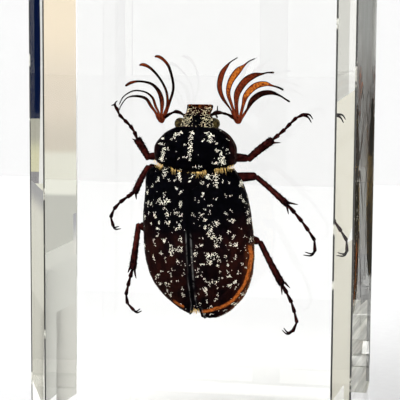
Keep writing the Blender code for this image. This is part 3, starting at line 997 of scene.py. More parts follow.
ELYTRA_STATIONS = (
    (4.5, -1.1, 6.2, 3.0, 4.6, 0.0),
    (3.3, -1.1, 7.1, 4.1, 5.0, 0.0),
    (0.8, -0.6, 7.7, 4.9, 5.3, 0.0),
    (-2.5, -0.4, 8.2, 5.4, 5.4, 0.0),
    (-6.5, -0.1, 8.4, 5.6, 5.3, 0.0),
    (-9.7, 0.1, 8.2, 5.4, 5.0, 0.0),
    (-12.2, 0.3, 7.6, 4.8, 4.5, 0.0),
    (-14.4, 0.6, 6.4, 3.9, 3.8, 0.0),
    (-16.2, 0.9, 4.6, 2.8, 2.6, 0.0),
    (-17.3, 1.1, 3.0, 1.8, 1.6, 0.0),
    (-17.9, 1.3, 1.5, 0.8, 0.8, 0.0),
)
"""The rings of the wing cases, as Trunk.stations says."""
WING_MARKS = (
    # The left wing case, from its shoulder to its tip.
    (-4.9, 3.9, 0.7, 1.7), (-5.8, 2.8, 0.3, 1.1), (-4.2, 2.8, 0.4, 0.5), (-6.3, 2.3, 0.3, 0.3),
    (-7.0, 1.6, 0.3, 0.6), (-3.3, 2.7, 0.3, 0.5), (-2.9, 1.7, 0.6, 0.5), (-2.3, 1.0, 0.3, 0.8),
    (-4.8, 0.5, 0.4, 0.9), (-5.2, -0.5, 2.2, 0.8), (-4.2, -0.3, 0.9, 0.9), (-7.7, 0.8, 0.3, 0.8),
    (-7.5, -0.7, 0.3, 0.9), (-6.9, -0.9, 0.3, 0.6), (-2.2, -0.7, 0.7, 0.7), (-4.8, -1.6, 0.3, 0.8),
    (-4.3, -2.2, 0.5, 1.2), (-3.0, -1.9, 1.2, 0.6), (-2.1, -2.3, 0.6, 0.6), (-6.2, -2.6, 0.6, 0.8),
    (-7.3, -2.2, 0.3, 0.5), (-8.1, -3.0, 0.4, 0.6), (-4.1, -3.5, 0.9, 0.6), (-5.5, -3.6, 0.4, 0.6),
    (-6.9, -3.8, 0.3, 0.6), (-5.7, -4.5, 0.9, 0.4), (-2.4, -3.9, 0.7, 0.8), (-3.0, -4.4, 0.4, 0.4),
    (-2.1, -5.9, 0.6, 1.0), (-5.8, -5.4, 0.4, 0.6), (-6.4, -6.4, 0.3, 1.0), (-4.7, -6.2, 0.7, 0.6),
    (-8.1, -7.3, 0.3, 0.5), (-3.5, -6.9, 0.6, 0.8), (-3.6, -7.7, 0.8, 1.4), (-5.2, -8.0, 0.6, 0.7),
    (-4.6, -8.9, 0.5, 0.7), (-2.7, -7.4, 0.7, 0.7), (-2.0, -7.2, 0.4, 0.9), (-6.6, -8.7, 0.3, 0.8),
    (-6.4, -9.1, 0.4, 0.3), (-2.6, -9.2, 0.6, 0.6), (-3.3, -10.4, 0.6, 0.5), (-4.0, -10.8, 0.7, 0.6),
    (-3.7, -11.5, 0.3, 0.9), (-5.2, -10.8, 0.4, 0.3), (-5.7, -11.5, 0.5, 0.6), (-6.3, -12.1, 0.3, 0.8),
    (-5.7, -12.9, 0.4, 0.6), (-4.4, -12.8, 0.9, 0.7), (-3.7, -12.3, 0.4, 0.4), (-2.6, -12.1, 0.6, 0.3),
    (-2.0, -11.2, 0.3, 0.3), (-4.5, -13.9, 0.4, 0.6), (-4.0, -14.5, 0.3, 0.6), (-2.0, -14.4, 0.6, 0.7),
    (-1.9, -13.4, 0.3, 0.4),
    # The right wing case.
    (0.9, 2.5, 0.6, 0.4), (1.7, 3.4, 0.9, 0.9), (2.8, 3.5, 1.1, 1.0), (2.9, 2.5, 0.9, 1.1),
    (1.8, 2.1, 0.3, 0.4), (1.1, 0.8, 0.4, 0.7), (0.5, -0.1, 0.3, 0.4), (-0.1, 0.4, 0.25, 1.0),
    (3.0, 0.3, 0.5, 0.3), (4.5, 0.7, 0.4, 0.4), (5.1, 0.7, 0.3, 0.4), (3.9, 2.8, 0.3, 0.3),
    (4.8, 2.6, 0.3, 0.3), (6.3, 2.3, 0.3, 0.9), (6.4, 0.5, 0.3, 0.8), (6.8, -0.1, 0.4, 0.6),
    (2.5, -0.7, 1.0, 0.4), (2.2, -1.7, 0.3, 1.0), (1.6, -1.3, 0.3, 0.3), (-0.3, -2.2, 0.6, 0.7),
    (0.8, -2.1, 0.6, 0.6), (4.5, -1.9, 0.7, 0.4), (7.4, -1.9, 0.3, 0.5), (1.5, -2.9, 0.7, 0.4),
    (3.1, -3.3, 1.1, 1.0), (1.5, -3.9, 0.7, 0.5), (-0.1, -3.7, 0.4, 0.4), (2.3, -4.2, 0.9, 1.2),
    (2.1, -4.9, 0.7, 0.7), (3.5, -5.5, 1.3, 0.9), (2.6, -5.3, 0.9, 0.7), (4.9, -2.9, 0.3, 0.4),
    (5.5, -2.9, 0.6, 0.6), (7.6, -3.0, 0.4, 0.9), (5.0, -4.5, 0.6, 0.4), (5.7, -5.3, 0.4, 0.5),
    (6.6, -4.1, 0.3, 0.4), (0.2, -6.7, 0.6, 0.4), (1.0, -6.5, 0.6, 0.4), (3.3, -6.6, 1.0, 0.9),
    (1.7, -7.2, 0.4, 0.2), (0.1, -7.8, 0.4, 1.2), (2.2, -8.0, 1.0, 1.0), (3.0, -8.0, 0.9, 0.9),
    (2.3, -9.0, 1.0, 0.7), (1.1, -9.4, 0.9, 0.4), (0.1, -9.2, 0.3, 0.6), (3.6, -8.8, 0.4, 0.6),
    (3.4, -9.5, 0.5, 0.4), (4.6, -8.0, 0.4, 0.4), (4.8, -8.7, 0.3, 0.6), (4.9, -9.4, 0.4, 0.4),
    (5.9, -8.2, 0.4, 0.7), (6.0, -6.5, 0.8, 0.6), (5.3, -6.4, 0.4, 0.4), (7.3, -6.9, 0.3, 0.4),
    (7.4, -10.0, 0.4, 0.3), (6.9, -9.3, 0.3, 0.3), (7.9, -5.8, 0.4, 0.7), (0.5, -10.3, 0.4, 0.6),
    (1.1, -10.9, 0.4, 0.7), (0.5, -11.4, 0.5, 0.4), (1.5, -11.8, 0.8, 0.6), (2.1, -12.5, 0.3, 1.0),
    (1.5, -13.4, 0.8, 1.2), (2.6, -11.9, 0.4, 0.7), (3.2, -12.2, 0.5, 0.7), (3.4, -12.9, 0.4, 0.4),
    (3.8, -11.5, 0.4, 0.4), (3.8, -10.4, 0.4, 0.4), (4.9, -10.5, 0.3, 0.3), (5.0, -11.1, 0.8, 0.4),
    (5.1, -12.5, 0.7, 0.6), (5.9, -12.0, 0.7, 0.6), (6.0, -12.8, 0.3, 0.3), (6.3, -10.5, 0.3, 0.7),
    (3.1, -14.8, 0.5, 0.6), (2.7, -15.0, 0.3, 0.3), (3.3, -14.0, 0.3, 0.4), (1.7, -15.1, 0.3, 0.6),
    (2.2, -15.9, 0.3, 0.3), (0.6, -15.6, 0.3, 0.6), (0.5, -13.9, 0.3, 0.3), (6.8, -14.0, 0.4, 0.4),
    (8.0, -9.6, 0.3, 0.3), (5.4, -15.5, 0.9, 0.4), (2.2, -17.2, 0.7, 0.3), (1.0, -17.3, 0.4, 0.3),
    (4.2, -16.5, 0.4, 0.3),
)
"""The patches of scales as x, z, width and height, in millimetres."""
SEAM_LINE = ((-2.5, -1.15), (-5.5, -0.96), (-10.8, -0.70), (-13.5, -0.57), (-15.6, -0.43), (-18.0, -0.30))
"""The seam's course as z and x."""
NOTCH = {
    Side.LEFT: ((-15.9, 0.0), (-16.15, 0.10), (-16.6, 0.28), (-17.06, 0.42), (-17.5, 1.05)),
    Side.RIGHT: ((-15.9, 0.0), (-16.12, 0.66), (-16.5, 0.80), (-16.95, 0.86), (-17.6, 0.85), (-17.9, 1.30)),
}
"""How far each inner edge has drawn back from the seam at some z, between the two tips."""
ORANGE_BAND = (
    (7.88, -6.9), (8.0, -8.0), (7.98, -8.9), (7.75, -10.5), (7.43, -11.7), (6.95, -12.8), (6.36, -13.7),
    (5.6, -14.7), (4.66, -15.45), (3.65, -16.0), (2.63, -16.35), (1.6, -16.65), (0.9, -16.84),
)
"""The middle line of the right wing case's orange rim, as x and z."""
ORANGE_SPOT = ((-3.5, -15.5), (-2.9, -15.9), (-2.2, -16.2))
"""The same for the short stretch of it on the left one."""


def nearest(points: np.ndarray, route: tuple[Row, ...]) -> np.ndarray:
    """Return how far points lie from a line, as the viewer sees them."""
    line = smooth(route, 8)
    away = points[..., None, (0, 2)] - line
    return np.sqrt((away**2).sum(-1)).min(axis=-1)


@dataclass
class WingCases:
    """The two wing cases, which meet along the middle of the back and part in a notch behind.

    Attributes:
        trunk: the rings that they lie on.
        columns: how many points one has across.
        margin_angle: the angle of the outer margin, in degrees under the level of the middle.
        wall: how thick they are, in millimetres.
        tips: the height where each ends.
        groove_depth: how deep the seam lies.
        line_place: how far the silver line and its bead are from the seam.
        rib_shares: where the ribs run, as shares of the way across.
        rib_height: how high they are.
        rib_width: how wide they are, as a share of the way across.
        bumps: the shoulder's and the hind bump's height, place and length along the body, and angle
            and breadth in degrees.
        margin_height: how far the outer margin swells.
        wrinkles: depth, size and noise seed of the coarse and fine wrinkles.
    """

    trunk: Trunk = Trunk(ELYTRA_STATIONS, 8.0, 2.2)
    columns: int = 88
    margin_angle: float = -16.0
    wall: float = 0.18
    tips: tuple = ((Side.LEFT, -17.5), (Side.RIGHT, -17.95))
    groove_depth: float = 0.16
    line_place: float = 0.40
    rib_shares: tuple = (0.27, 0.48, 0.68)
    rib_height: float = 0.06
    rib_width: float = 0.022
    bumps: tuple = ((0.35, 2.6, 1.2, 38.0, 14.0), (0.22, -13.6, 1.3, 52.0, 15.0))
    margin_height: float = 0.10
    wrinkles: tuple = ((0.035, 0.9, 3.0), (0.022, 0.30, 9.0))

    def inner_angle(self, side: Side, z: np.ndarray) -> np.ndarray:
        """Return the angle of one wing case's inner edge on each ring, in degrees."""
        rings = smooth(self.trunk.stations, self.trunk.steps)[: len(z)]
        middle, half, top = rings[:, 1], rings[:, 2], rings[:, 3]
        roll = math.radians(self.trunk.roll)
        seam_z, seam_x = np.array(SEAM_LINE[::-1]).T
        crown = middle - top * math.sin(roll)
        seam = np.where(z < seam_z[-1], np.interp(z, seam_z, seam_x), crown)
        seam = seam + (crown - seam) * ease(-6.5, -2.5, z)
        notch_z, notch_gap = np.array(NOTCH[side][::-1]).T
        edge = seam + side.value * (np.interp(z, notch_z, notch_gap) + 0.05)
        across = np.clip((edge - crown) / (half * math.cos(roll)), -0.98, 0.98)
        lean = np.sign(across) * np.abs(across) ** (1.0 / self.trunk.fullness)
        return np.degrees(np.arccos(np.clip(lean, -1.0, 1.0)))

    def skin(self, side: Side, tip: float) -> tuple[np.ndarray, dict]:
        """Return one wing case's grid of points and its values.

        Args:
            side: which of the two.
            tip: the height where it ends.

        Returns:
            The grid, and the values for its points.
        """
        z = smooth(self.trunk.stations, self.trunk.steps)[:, 0]
        total = len(z)
        z = z[z >= tip]
        first = self.inner_angle(side, z)
        last = self.margin_angle if side is Side.RIGHT else 180.0 - self.margin_angle
        share = np.linspace(0.0, 1.0, self.columns)[None, :] ** 1.15
        degrees = first[:, None] + (last - first[:, None]) * share
        full = np.vstack([degrees, np.repeat(degrees[-1:], total - len(z), axis=0)])
        grid = self.trunk.rings(np.radians(full))[: len(z)]
        turned = degrees if side is Side.RIGHT else 180.0 - degrees
        grid = push(grid, self.relief(grid, turned), -side.value)
        return grid, self.values(grid, turned, side)

    def relief(self, grid: np.ndarray, turned: np.ndarray) -> np.ndarray:
        """Return the height of the seam's bead, the ribs, the bumps and the wrinkles."""
        z = grid[..., 2]
        inner = arc_length(grid)
        share = inner / np.maximum(inner[:, -1:], 1e-6)
        height = -self.groove_depth * bell(inner, 0.12)
        height += (0.02 + 0.05 * ease(-1.0, -5.0, z)) * bell(inner - self.line_place, 0.09)
        height -= 0.03 * bell(inner - 0.74, 0.16)
        ends = ease(3.8, 1.5, z) * ease(-15.5, -12.5, z)
        for place in self.rib_shares:
            height += self.rib_height * bell(share - place, self.rib_width) * ends
        for rise, at, long, angle, broad in self.bumps:
            height += rise * bell(z - at, long) * bell(turned - angle, broad)
        height += self.margin_height * bell(turned + 6.0, 5.0)
        for depth, size, seed in self.wrinkles:
            height = height + depth * speckle(grid, size, seed)
        return height

    def values(self, grid: np.ndarray, turned: np.ndarray, side: Side) -> dict:
        """Return where the scales, the brown ground, the silver line and the orange rim lie."""
        z = grid[..., 2]
        inner = arc_length(grid)
        cover = cover_of(grid, WING_MARKS, 0.55, 1.05)
        crumbs = ease(0.80, 0.96, speckle(grid, 0.30, 21.0)) * ease(4.0, 1.0, z)
        broken = ease(-0.75, -0.1, speckle(grid, 0.45, 33.0))
        line = bell(inner - self.line_place, 0.045) * ease(-4.4, -5.6, z) * broken
        low = ease(-2.5, -9.0, z)
        flank = ease(60.0, 24.0, turned)
        patch = ease(-0.3, 0.6, speckle(grid, 2.2, 40.0))
        brown = 0.34 * low + 0.7 * flank * ease(-1.0, -5.0, z) + patch * ease(-4.5, -7.0, z)
        brown *= ease(0.0, 1.3, inner)
        if side is Side.RIGHT:
            away = nearest(grid, ORANGE_BAND)
            band = ease(0.29, 0.16, away + 0.05 * speckle(grid, 0.6, 61.0)) * ease(-6.5, -7.0, z)
            outside = ease(0.25, 0.45, away) * ease(30.0, 12.0, turned) * ease(-6.0, -7.5, z)
        else:
            band = 0.75 * ease(0.30, 0.14, nearest(grid, ORANGE_SPOT))
            outside = 0.8 * ease(26.0, 10.0, turned) * ease(-9.0, -12.0, z)
        outer = outside * ease(0.25, 0.6, speckle(grid, 0.28, 50.0)) * ease(-10.0, -12.5, z)
        crumbs = np.maximum(crumbs, outer)
        return {
            "scales": (cover + 0.7 * crumbs + 0.03) * (1.0 - 0.9 * ease(0.2, 0.7, band)),
            "brown": np.clip(np.maximum(brown, 1.5 * outside), 0.0, 1.6),
            "rim": np.maximum(band, 0.16 * outside),
            "line": 0.4 * line,
        }

    def build(self, shell: bpy.types.Material, scales: ScaleGrowth) -> list[bpy.types.Object]:
        """Build both wing cases and the scales on each."""
        made = []
        for side, tip in self.tips:
            grid, values = self.skin(side, tip)
            guide = skin_of(f"wing_case_{side.word}", grid, shell, wrap=False, **values)
            face_out(guide)
            cover = scales.run(copy_of(guide), f"wing_case_{side.word}_scales", Seed=3 + side.value)
            made += [thicken(guide, self.wall), cover]
        return made


def face_out(piece: bpy.types.Object) -> None:
    """Turn an open skin so that its faces point towards the front."""
    total = sum(face.normal.y * face.area for face in piece.data.polygons)
    if total > 0:
        piece.data.flip_normals()


PRONOTUM_STATIONS = (
    (10.6, -0.6, 3.2, 2.1, 2.6, -0.2),
    (10.1, -0.6, 4.4, 2.7, 3.2, -0.3),
    (9.3, -0.6, 5.3, 3.3, 3.8, -0.3),
    (8.0, -0.7, 6.1, 4.0, 4.3, -0.2),
    (6.6, -0.7, 6.2, 4.4, 4.7, 0.0),
    (5.4, -0.6, 6.1, 4.4, 4.8, 0.3),
    (4.2, -0.5, 5.6, 4.0, 4.8, 0.8),
    (3.8, -0.5, 3.2, 2.2, 2.8, 0.0),
)
PRONOTUM_MARKS = (
    (-0.8, 9.7, 0.4, 0.6), (-0.8, 9.0, 0.6, 0.7), (-0.9, 7.8, 0.6, 1.6), (-1.0, 6.7, 0.4, 0.6),
    (-0.9, 5.9, 0.5, 0.4), (-1.4, 6.2, 0.4, 0.5), (-0.2, 4.9, 0.4, 0.3), (0.6, 4.9, 0.4, 0.3),
    (-3.2, 9.5, 0.8, 0.4), (-3.6, 8.9, 0.5, 0.5), (-2.6, 9.7, 0.6, 0.3), (1.4, 9.7, 0.6, 0.3),
    (1.9, 9.3, 0.8, 0.6), (2.1, 8.6, 0.6, 0.6), (2.9, 8.3, 0.4, 0.3), (-4.9, 7.6, 0.4, 0.8),
    (-5.2, 6.7, 0.6, 0.8), (-5.2, 5.8, 0.9, 0.6), (-4.4, 7.4, 0.3, 0.4), (3.6, 6.9, 0.4, 0.8),
    (3.7, 6.2, 0.6, 0.9), (3.8, 5.5, 0.7, 0.6), (2.8, 5.4, 0.7, 0.3), (3.0, 7.3, 0.3, 0.4),
    (4.4, 7.4, 0.4, 0.15), (4.6, 6.9, 0.4, 0.15), (-5.4, 8.8, 0.6, 0.2), (-5.7, 8.0, 0.6, 0.2),
    (0.8, 8.6, 0.3, 0.3), (-1.9, 8.1, 0.2, 0.2), (-2.0, 6.1, 0.3, 0.3),
)


@dataclass
class Pronotum:
    """The shield between head and wing cases, with a rim along each side."""

    trunk: Trunk = Trunk(PRONOTUM_STATIONS, 5.0, 2.2, steps=10)
    columns: int = 150
    rim_height: float = 0.12
    rim_width: float = 0.11
    furrow: float = -0.9
    furrow_depth: float = 0.10
    hollows: tuple = ((-3.7, 7.9), (2.7, 8.1), (-4.7, 6.2), (3.6, 6.0))
    hollow_depth: float = 0.14
    hollow_width: float = 0.7

    def build(self, shell: bpy.types.Material, scales: ScaleGrowth) -> list[bpy.types.Object]:
        """Build the shield and its scales."""
        grid, angles = self.trunk.closed(self.columns)
        x, z = grid[..., 0], grid[..., 2]
        back = ease(0.1, 0.5, np.sin(angles))
        left, right = angles - math.pi, (angles + math.pi) % math.tau - math.pi
        rim = np.maximum(bell(left, self.rim_width), bell(right, self.rim_width))
        height = self.rim_height * rim * (1.0 + 0.35 * np.sin(z * 11.0)) * ease(10.4, 9.8, z)
        height -= self.furrow_depth * back * bell(x - self.furrow, 0.3) * ease(5.0, 7.0, z)
        for pit_x, pit_z in self.hollows:
            pit = bell(x - pit_x, self.hollow_width) * bell(z - pit_z, self.hollow_width)
            height -= self.hollow_depth * back * pit
        height += back * (0.035 * speckle(grid, 0.8, 5.0) + 0.022 * speckle(grid, 0.3, 12.0))
        grid = push(grid, height, 1)
        sides = ease(5.0, 6.0, np.abs(x + 0.65)) * ease(-0.4, 0.6, speckle(grid, 1.2, 2.0))
        crumbs = ease(0.7, 0.9, speckle(grid, 0.3, 70.0))
        cover = cover_of(grid, PRONOTUM_MARKS, 0.6, 1.35) + 0.7 * crumbs
        shield = skin_of(
            "pronotum", grid, shell,
            scales=cover * ease(0.1, 0.4, np.sin(angles)),
            brown=np.clip(0.8 * sides + 0.8 * (1.0 - back), 0.0, 1.3),
        )
        cream = scales.run(copy_of(shield), "pronotum_scales", Seed=9, Stretch=(1.5, 1.0, 0.55))
        return [shield, cream]


HEAD_STATIONS = (
    (13.78, -0.15, 1.60, 0.35, 0.45, 0.05),
    (13.65, -0.15, 1.95, 0.42, 0.60, 0.05),
    (13.2, -0.2, 1.95, 0.50, 0.85, 0.0),
    (12.5, -0.42, 1.85, 0.95, 1.4, 0.0),
    (12.1, -0.45, 1.95, 1.2, 1.7, 0.0),
    (11.6, -0.4, 2.3, 1.55, 2.0, 0.0),
    (10.8, -0.45, 2.6, 2.0, 2.3, 0.0),
    (9.9, -0.5, 2.8, 2.2, 2.5, 0.0),
    (9.2, -0.6, 2.8, 2.2, 2.5, 0.0),
)


@dataclass
class Head:
    """The head: a square-cut clypeus with a raised rim, the brow, both eyes and the palps."""

    trunk: Trunk = Trunk(HEAD_STATIONS, 4.0, 1.4, fullness=0.62, steps=9)
    columns: int = 140
    eyes: tuple = ((Side.LEFT, -3.1, 10.95), (Side.RIGHT, 2.0, 11.0))
    eye_level: float = 1.6
    eye_radius: float = 0.86
    palps: tuple = (
        ("palp_left", ((-1.6, 0.3, 12.0), (-2.2, 0.5, 12.4), (-2.6, 0.4, 12.2), (-2.9, 0.2, 11.8))),
        ("palp_right", ((1.0, 0.3, 12.0), (1.6, 0.5, 12.4), (2.0, 0.4, 12.2), (2.3, 0.2, 11.8))),
    )
    palp_width: float = 0.3
    rim_height: float = 0.17
    seam: float = 12.15
    seam_depth: float = 0.10

    def build(
        self, shell: bpy.types.Material, eye: EyeGrowth, scales: ScaleGrowth,
    ) -> list[bpy.types.Object]:
        """Build the head, its golden scales, the eyes and the palps.

        Args:
            shell: the head's material.
            eye: what the eyes grow from.
            scales: what the golden scales grow from.

        Returns:
            The pieces.
        """
        grid, angles = self.trunk.closed(self.columns)
        x, z = grid[..., 0], grid[..., 2]
        top = ease(0.0, 0.3, np.sin(angles))
        side = np.abs(np.cos(angles))
        plate = ease(12.1, 12.7, z)
        height = self.rim_height * plate * bell(side - 0.93, 0.09) * top
        height += self.rim_height * top * bell(z - 13.5, 0.14)
        height -= self.seam_depth * top * bell(z - self.seam, 0.12) * ease(1.0, 0.8, side)
        height += top * (0.03 * speckle(grid, 0.45, 15.0) + 0.03 * speckle(grid, 0.2, 17.0))
        grid = push(grid, height, 1)
        edge = np.maximum(plate * ease(0.80, 0.93, side), ease(13.3, 13.5, z))
        brow = (0.30 + 0.65 * ease(0.35, 0.9, np.abs(x + 0.45))) * ease(9.6, 10.3, z)
        head = skin_of(
            "head", grid, shell,
            scales=np.maximum(plate * 0.50, 0.9 * brow) * top * (1.0 - edge * 0.7),
            brown=np.clip(0.7 * plate + 0.9 * edge + (1.0 - top) * 0.6, 0.0, 1.0),
            rim=0.30 * edge * ease(-0.2, 0.5, speckle(grid, 0.4, 30.0)),
        )
        gold = scales.run(
            copy_of(head), "head_scales", Seed=5, Spacing=0.05, Density=260.0, Length=0.075, Width=0.035,
            Height=0.015, Vein_size=0.30, Vein_width=0.034,
        )
        made = [head, gold]
        for side_name, eye_x, eye_z in self.eyes:
            made.append(self.ball(f"eye_{side_name.word}", eye_x, eye_z, eye))
        for name, route in self.palps:
            line = smooth(route, 8)
            share = shares(line)
            knuckles = 0.75 + 0.25 * np.abs(np.sin(share * math.pi * 3))
            grid = tube(line, self.palp_width * knuckles * rounded(share))
            made.append(skin_of(name, grid, shell, brown=0.7))
        return made

    def ball(self, name: str, x: float, z: float, eye: EyeGrowth) -> bpy.types.Object:
        """Build one eye and set it in its place."""
        guide = skin_of(name, np.zeros((2, 3, 3)), eye_blank(), caps=False)
        piece = eye.run(guide, name, Radius=self.eye_radius)
        piece.data.transform(Matrix.Translation(LAYOUT.world([x, -self.eye_level, z])))
        return piece


def eye_blank() -> bpy.types.Material:
    """Return the plain material of a guide, which is never shown."""
    return bpy.data.materials.get("guide") or bpy.data.materials.new("guide")


@dataclass
class Scutellum:
    """The small shield between the roots of the wing cases.

    Attributes:
        middle: the x of its middle line.
        front: the z of its front edge.
        tip: the z of its tip.
        half_width: half its width in front.
        crown: how high its dome is.
        marks: the patches of scales as x, z, width and height.
        rows: how many rings it has from front to tip.
        columns: how many points a ring has.
        thickness: how far it reaches above and below its middle.
        front_drop: how much lower its front edge lies.
        slant: how far it leans sideways, in degrees.
        slant_share: the share of that lean that it takes.
    """

    middle: float = -1.1
    front: float = 4.6
    tip: float = 1.4
    half_width: float = 2.1
    crown: float = 7.05
    marks: tuple = (
        (-2.5, 3.6, 0.7, 1.2), (-2.2, 2.9, 0.4, 0.7), (-0.6, 3.4, 0.5, 0.8), (-0.9, 2.7, 0.3, 0.5),
    )
    rows: int = 34
    columns: int = 60
    thickness: Row = (0.25, 1.2)
    front_drop: float = 1.4
    slant: float = 8.0
    slant_share: float = 0.12

    def build(self, shell: bpy.types.Material, scales: ScaleGrowth) -> list[bpy.types.Object]:
        """Build the shield as a low dome with a rounded tip, and its scales."""
        share = np.linspace(0.0, 1.0, self.rows)[:, None]
        sine, cosine = np.sin(turns(self.columns))[None, :], np.cos(turns(self.columns))[None, :]
        half = self.half_width * np.sqrt(np.clip(1.0 - share**2.6, 0.0, 1.0)) * (1.0 - 0.15 * share) + 0.03
        x = self.middle + half * cosine
        lift = self.crown - self.front_drop * (1.0 - share) ** 3
        lift = lift + sine * np.where(sine > 0, *self.thickness)
        lift = lift + self.slant_share * (x - self.middle) * math.tan(math.radians(self.slant))
        z = np.broadcast_to(self.front + (self.tip - self.front) * share, x.shape)
        grid = np.stack([x, -lift, z], axis=-1)
        grid = push(grid, 0.03 * speckle(grid, 0.3, 11.0), 1)
        top = np.broadcast_to(ease(0.0, 0.3, sine), x.shape)
        shield = skin_of("scutellum", grid, shell, scales=cover_of(grid, self.marks) * top, brown=0.05)
        return [shield, scales.run(copy_of(shield), "scutellum_scales", Seed=6)]


@dataclass
class Underside:
    """The belly with its rings, and the breast with its wool, which the wing cases cover above."""

    belly: Trunk = Trunk(tuple(
        (z, middle, half - 0.55, top - 0.75, belly, bow)
        for z, middle, half, top, belly, bow in ELYTRA_STATIONS[:9]
    ) + ((-16.9, 0.9, 2.3, 1.0, 1.3, 0.0),), 8.0, 2.2)
    columns: int = 110
    middle: float = -0.8
    segments: int = 6
    breast_end: float = -3.6
    tail_end: float = -16.4
    ring_height: float = 0.22
    breast_swell: float = 0.35

    def build(self, shell: bpy.types.Material, hairs: HairGrowth) -> list[bpy.types.Object]:
        """Build the belly and its wool."""
        grid, angles = self.belly.closed(self.columns)
        z = grid[..., 2]
        under = ease(0.1, -0.3, np.sin(angles))
        share = np.clip((z - self.breast_end) / (self.tail_end - self.breast_end), 0.0, 1.0)
        step = (share * self.segments) % 1.0
        ring = ease(0.0, 0.8, step) - ease(0.9, 1.0, step)
        aside = grid[..., 0] - self.middle
        height = under * ease(self.breast_end + 0.3, self.breast_end - 0.3, z) * self.ring_height * ring
        breast = ease(self.breast_end - 0.4, self.breast_end + 0.2, z) * (1.0 - bell(aside, 0.35))
        height += under * self.breast_swell * breast
        height += 0.03 * speckle(grid, 0.5, 3.0)
        woolly = z + 0.7 * speckle(grid, 1.3, 5.0) + 0.10 * aside**2 - 0.9
        woolly = ease(self.breast_end - 2.2, self.breast_end + 2.4, woolly)
        grid = push(grid, height, 1)
        hair = np.clip(under * (0.10 + 0.90 * woolly ** 1.5), 0.0, 1.0)
        belly = skin_of("belly", grid, shell, brown=0.45 + 0.3 * ring, hair=hair)
        wool = hairs.run(
            copy_of(belly), "breast_wool", Density=30.0, Length=0.9, Girth=0.045, Lay=0.55, Spread=0.3,
            Seed=2, Direction=(0.0, 0.25, -1.0),
        )
        return [belly, wool]


@dataclass
class Fringes:
    """The golden hair that hangs over the seams of the back and fills the notch behind.

    Attributes:
        rows: each stretch's name, route, hairs per square millimetre, their length and their direction.
        breadth: how wide the strip is that the hair grows from, in millimetres.
        girth: how thick a hair is, in millimetres.
    """

    rows: tuple = (
        ("fringe_left", ((-6.7, -3.3, 5.6), (-6.1, -4.0, 5.15), (-5.2, -4.9, 4.95)),
         26.0, 0.85, (-0.25, -0.15, -1.0)),
        ("fringe_middle", ((-3.9, -5.9, 4.6), (-2.2, -6.4, 4.05), (-0.5, -6.6, 3.95), (1.4, -6.5, 4.35)),
         34.0, 0.95, (0.0, -0.1, -1.0)),
        ("fringe_right", ((2.6, -6.0, 4.55), (4.2, -5.5, 4.75), (5.4, -5.1, 5.2)),
         26.0, 0.9, (0.25, -0.1, -1.0)),
        ("tail_tuft", ((-0.9, -4.0, -16.3), (-0.2, -4.4, -16.5), (0.4, -4.3, -16.4)),
         90.0, 0.75, (0.0, 0.0, -1.0)),
    )
    breadth: float = 0.22
    girth: float = 0.055

    def build(self, shell: bpy.types.Material, hairs: HairGrowth) -> list[bpy.types.Object]:
        """Build each stretch of fringe along its route."""
        made = []
        for number, (name, route, density, length, direction) in enumerate(self.rows):
            line = smooth(route, 10)
            width = np.full(len(line), self.breadth)
            strip = skin_of(name, tube(line, width, width * 0.4, sides=6), shell, hair=1.0)
            made.append(hairs.run(
                strip, name, Density=density, Length=length, Girth=self.girth, Lay=0.85,
                Direction=direction, Spread=0.22, Seed=11 + number,
            ))
        return made


# ----------------------------------------
# The feelers
# ----------------------------------------


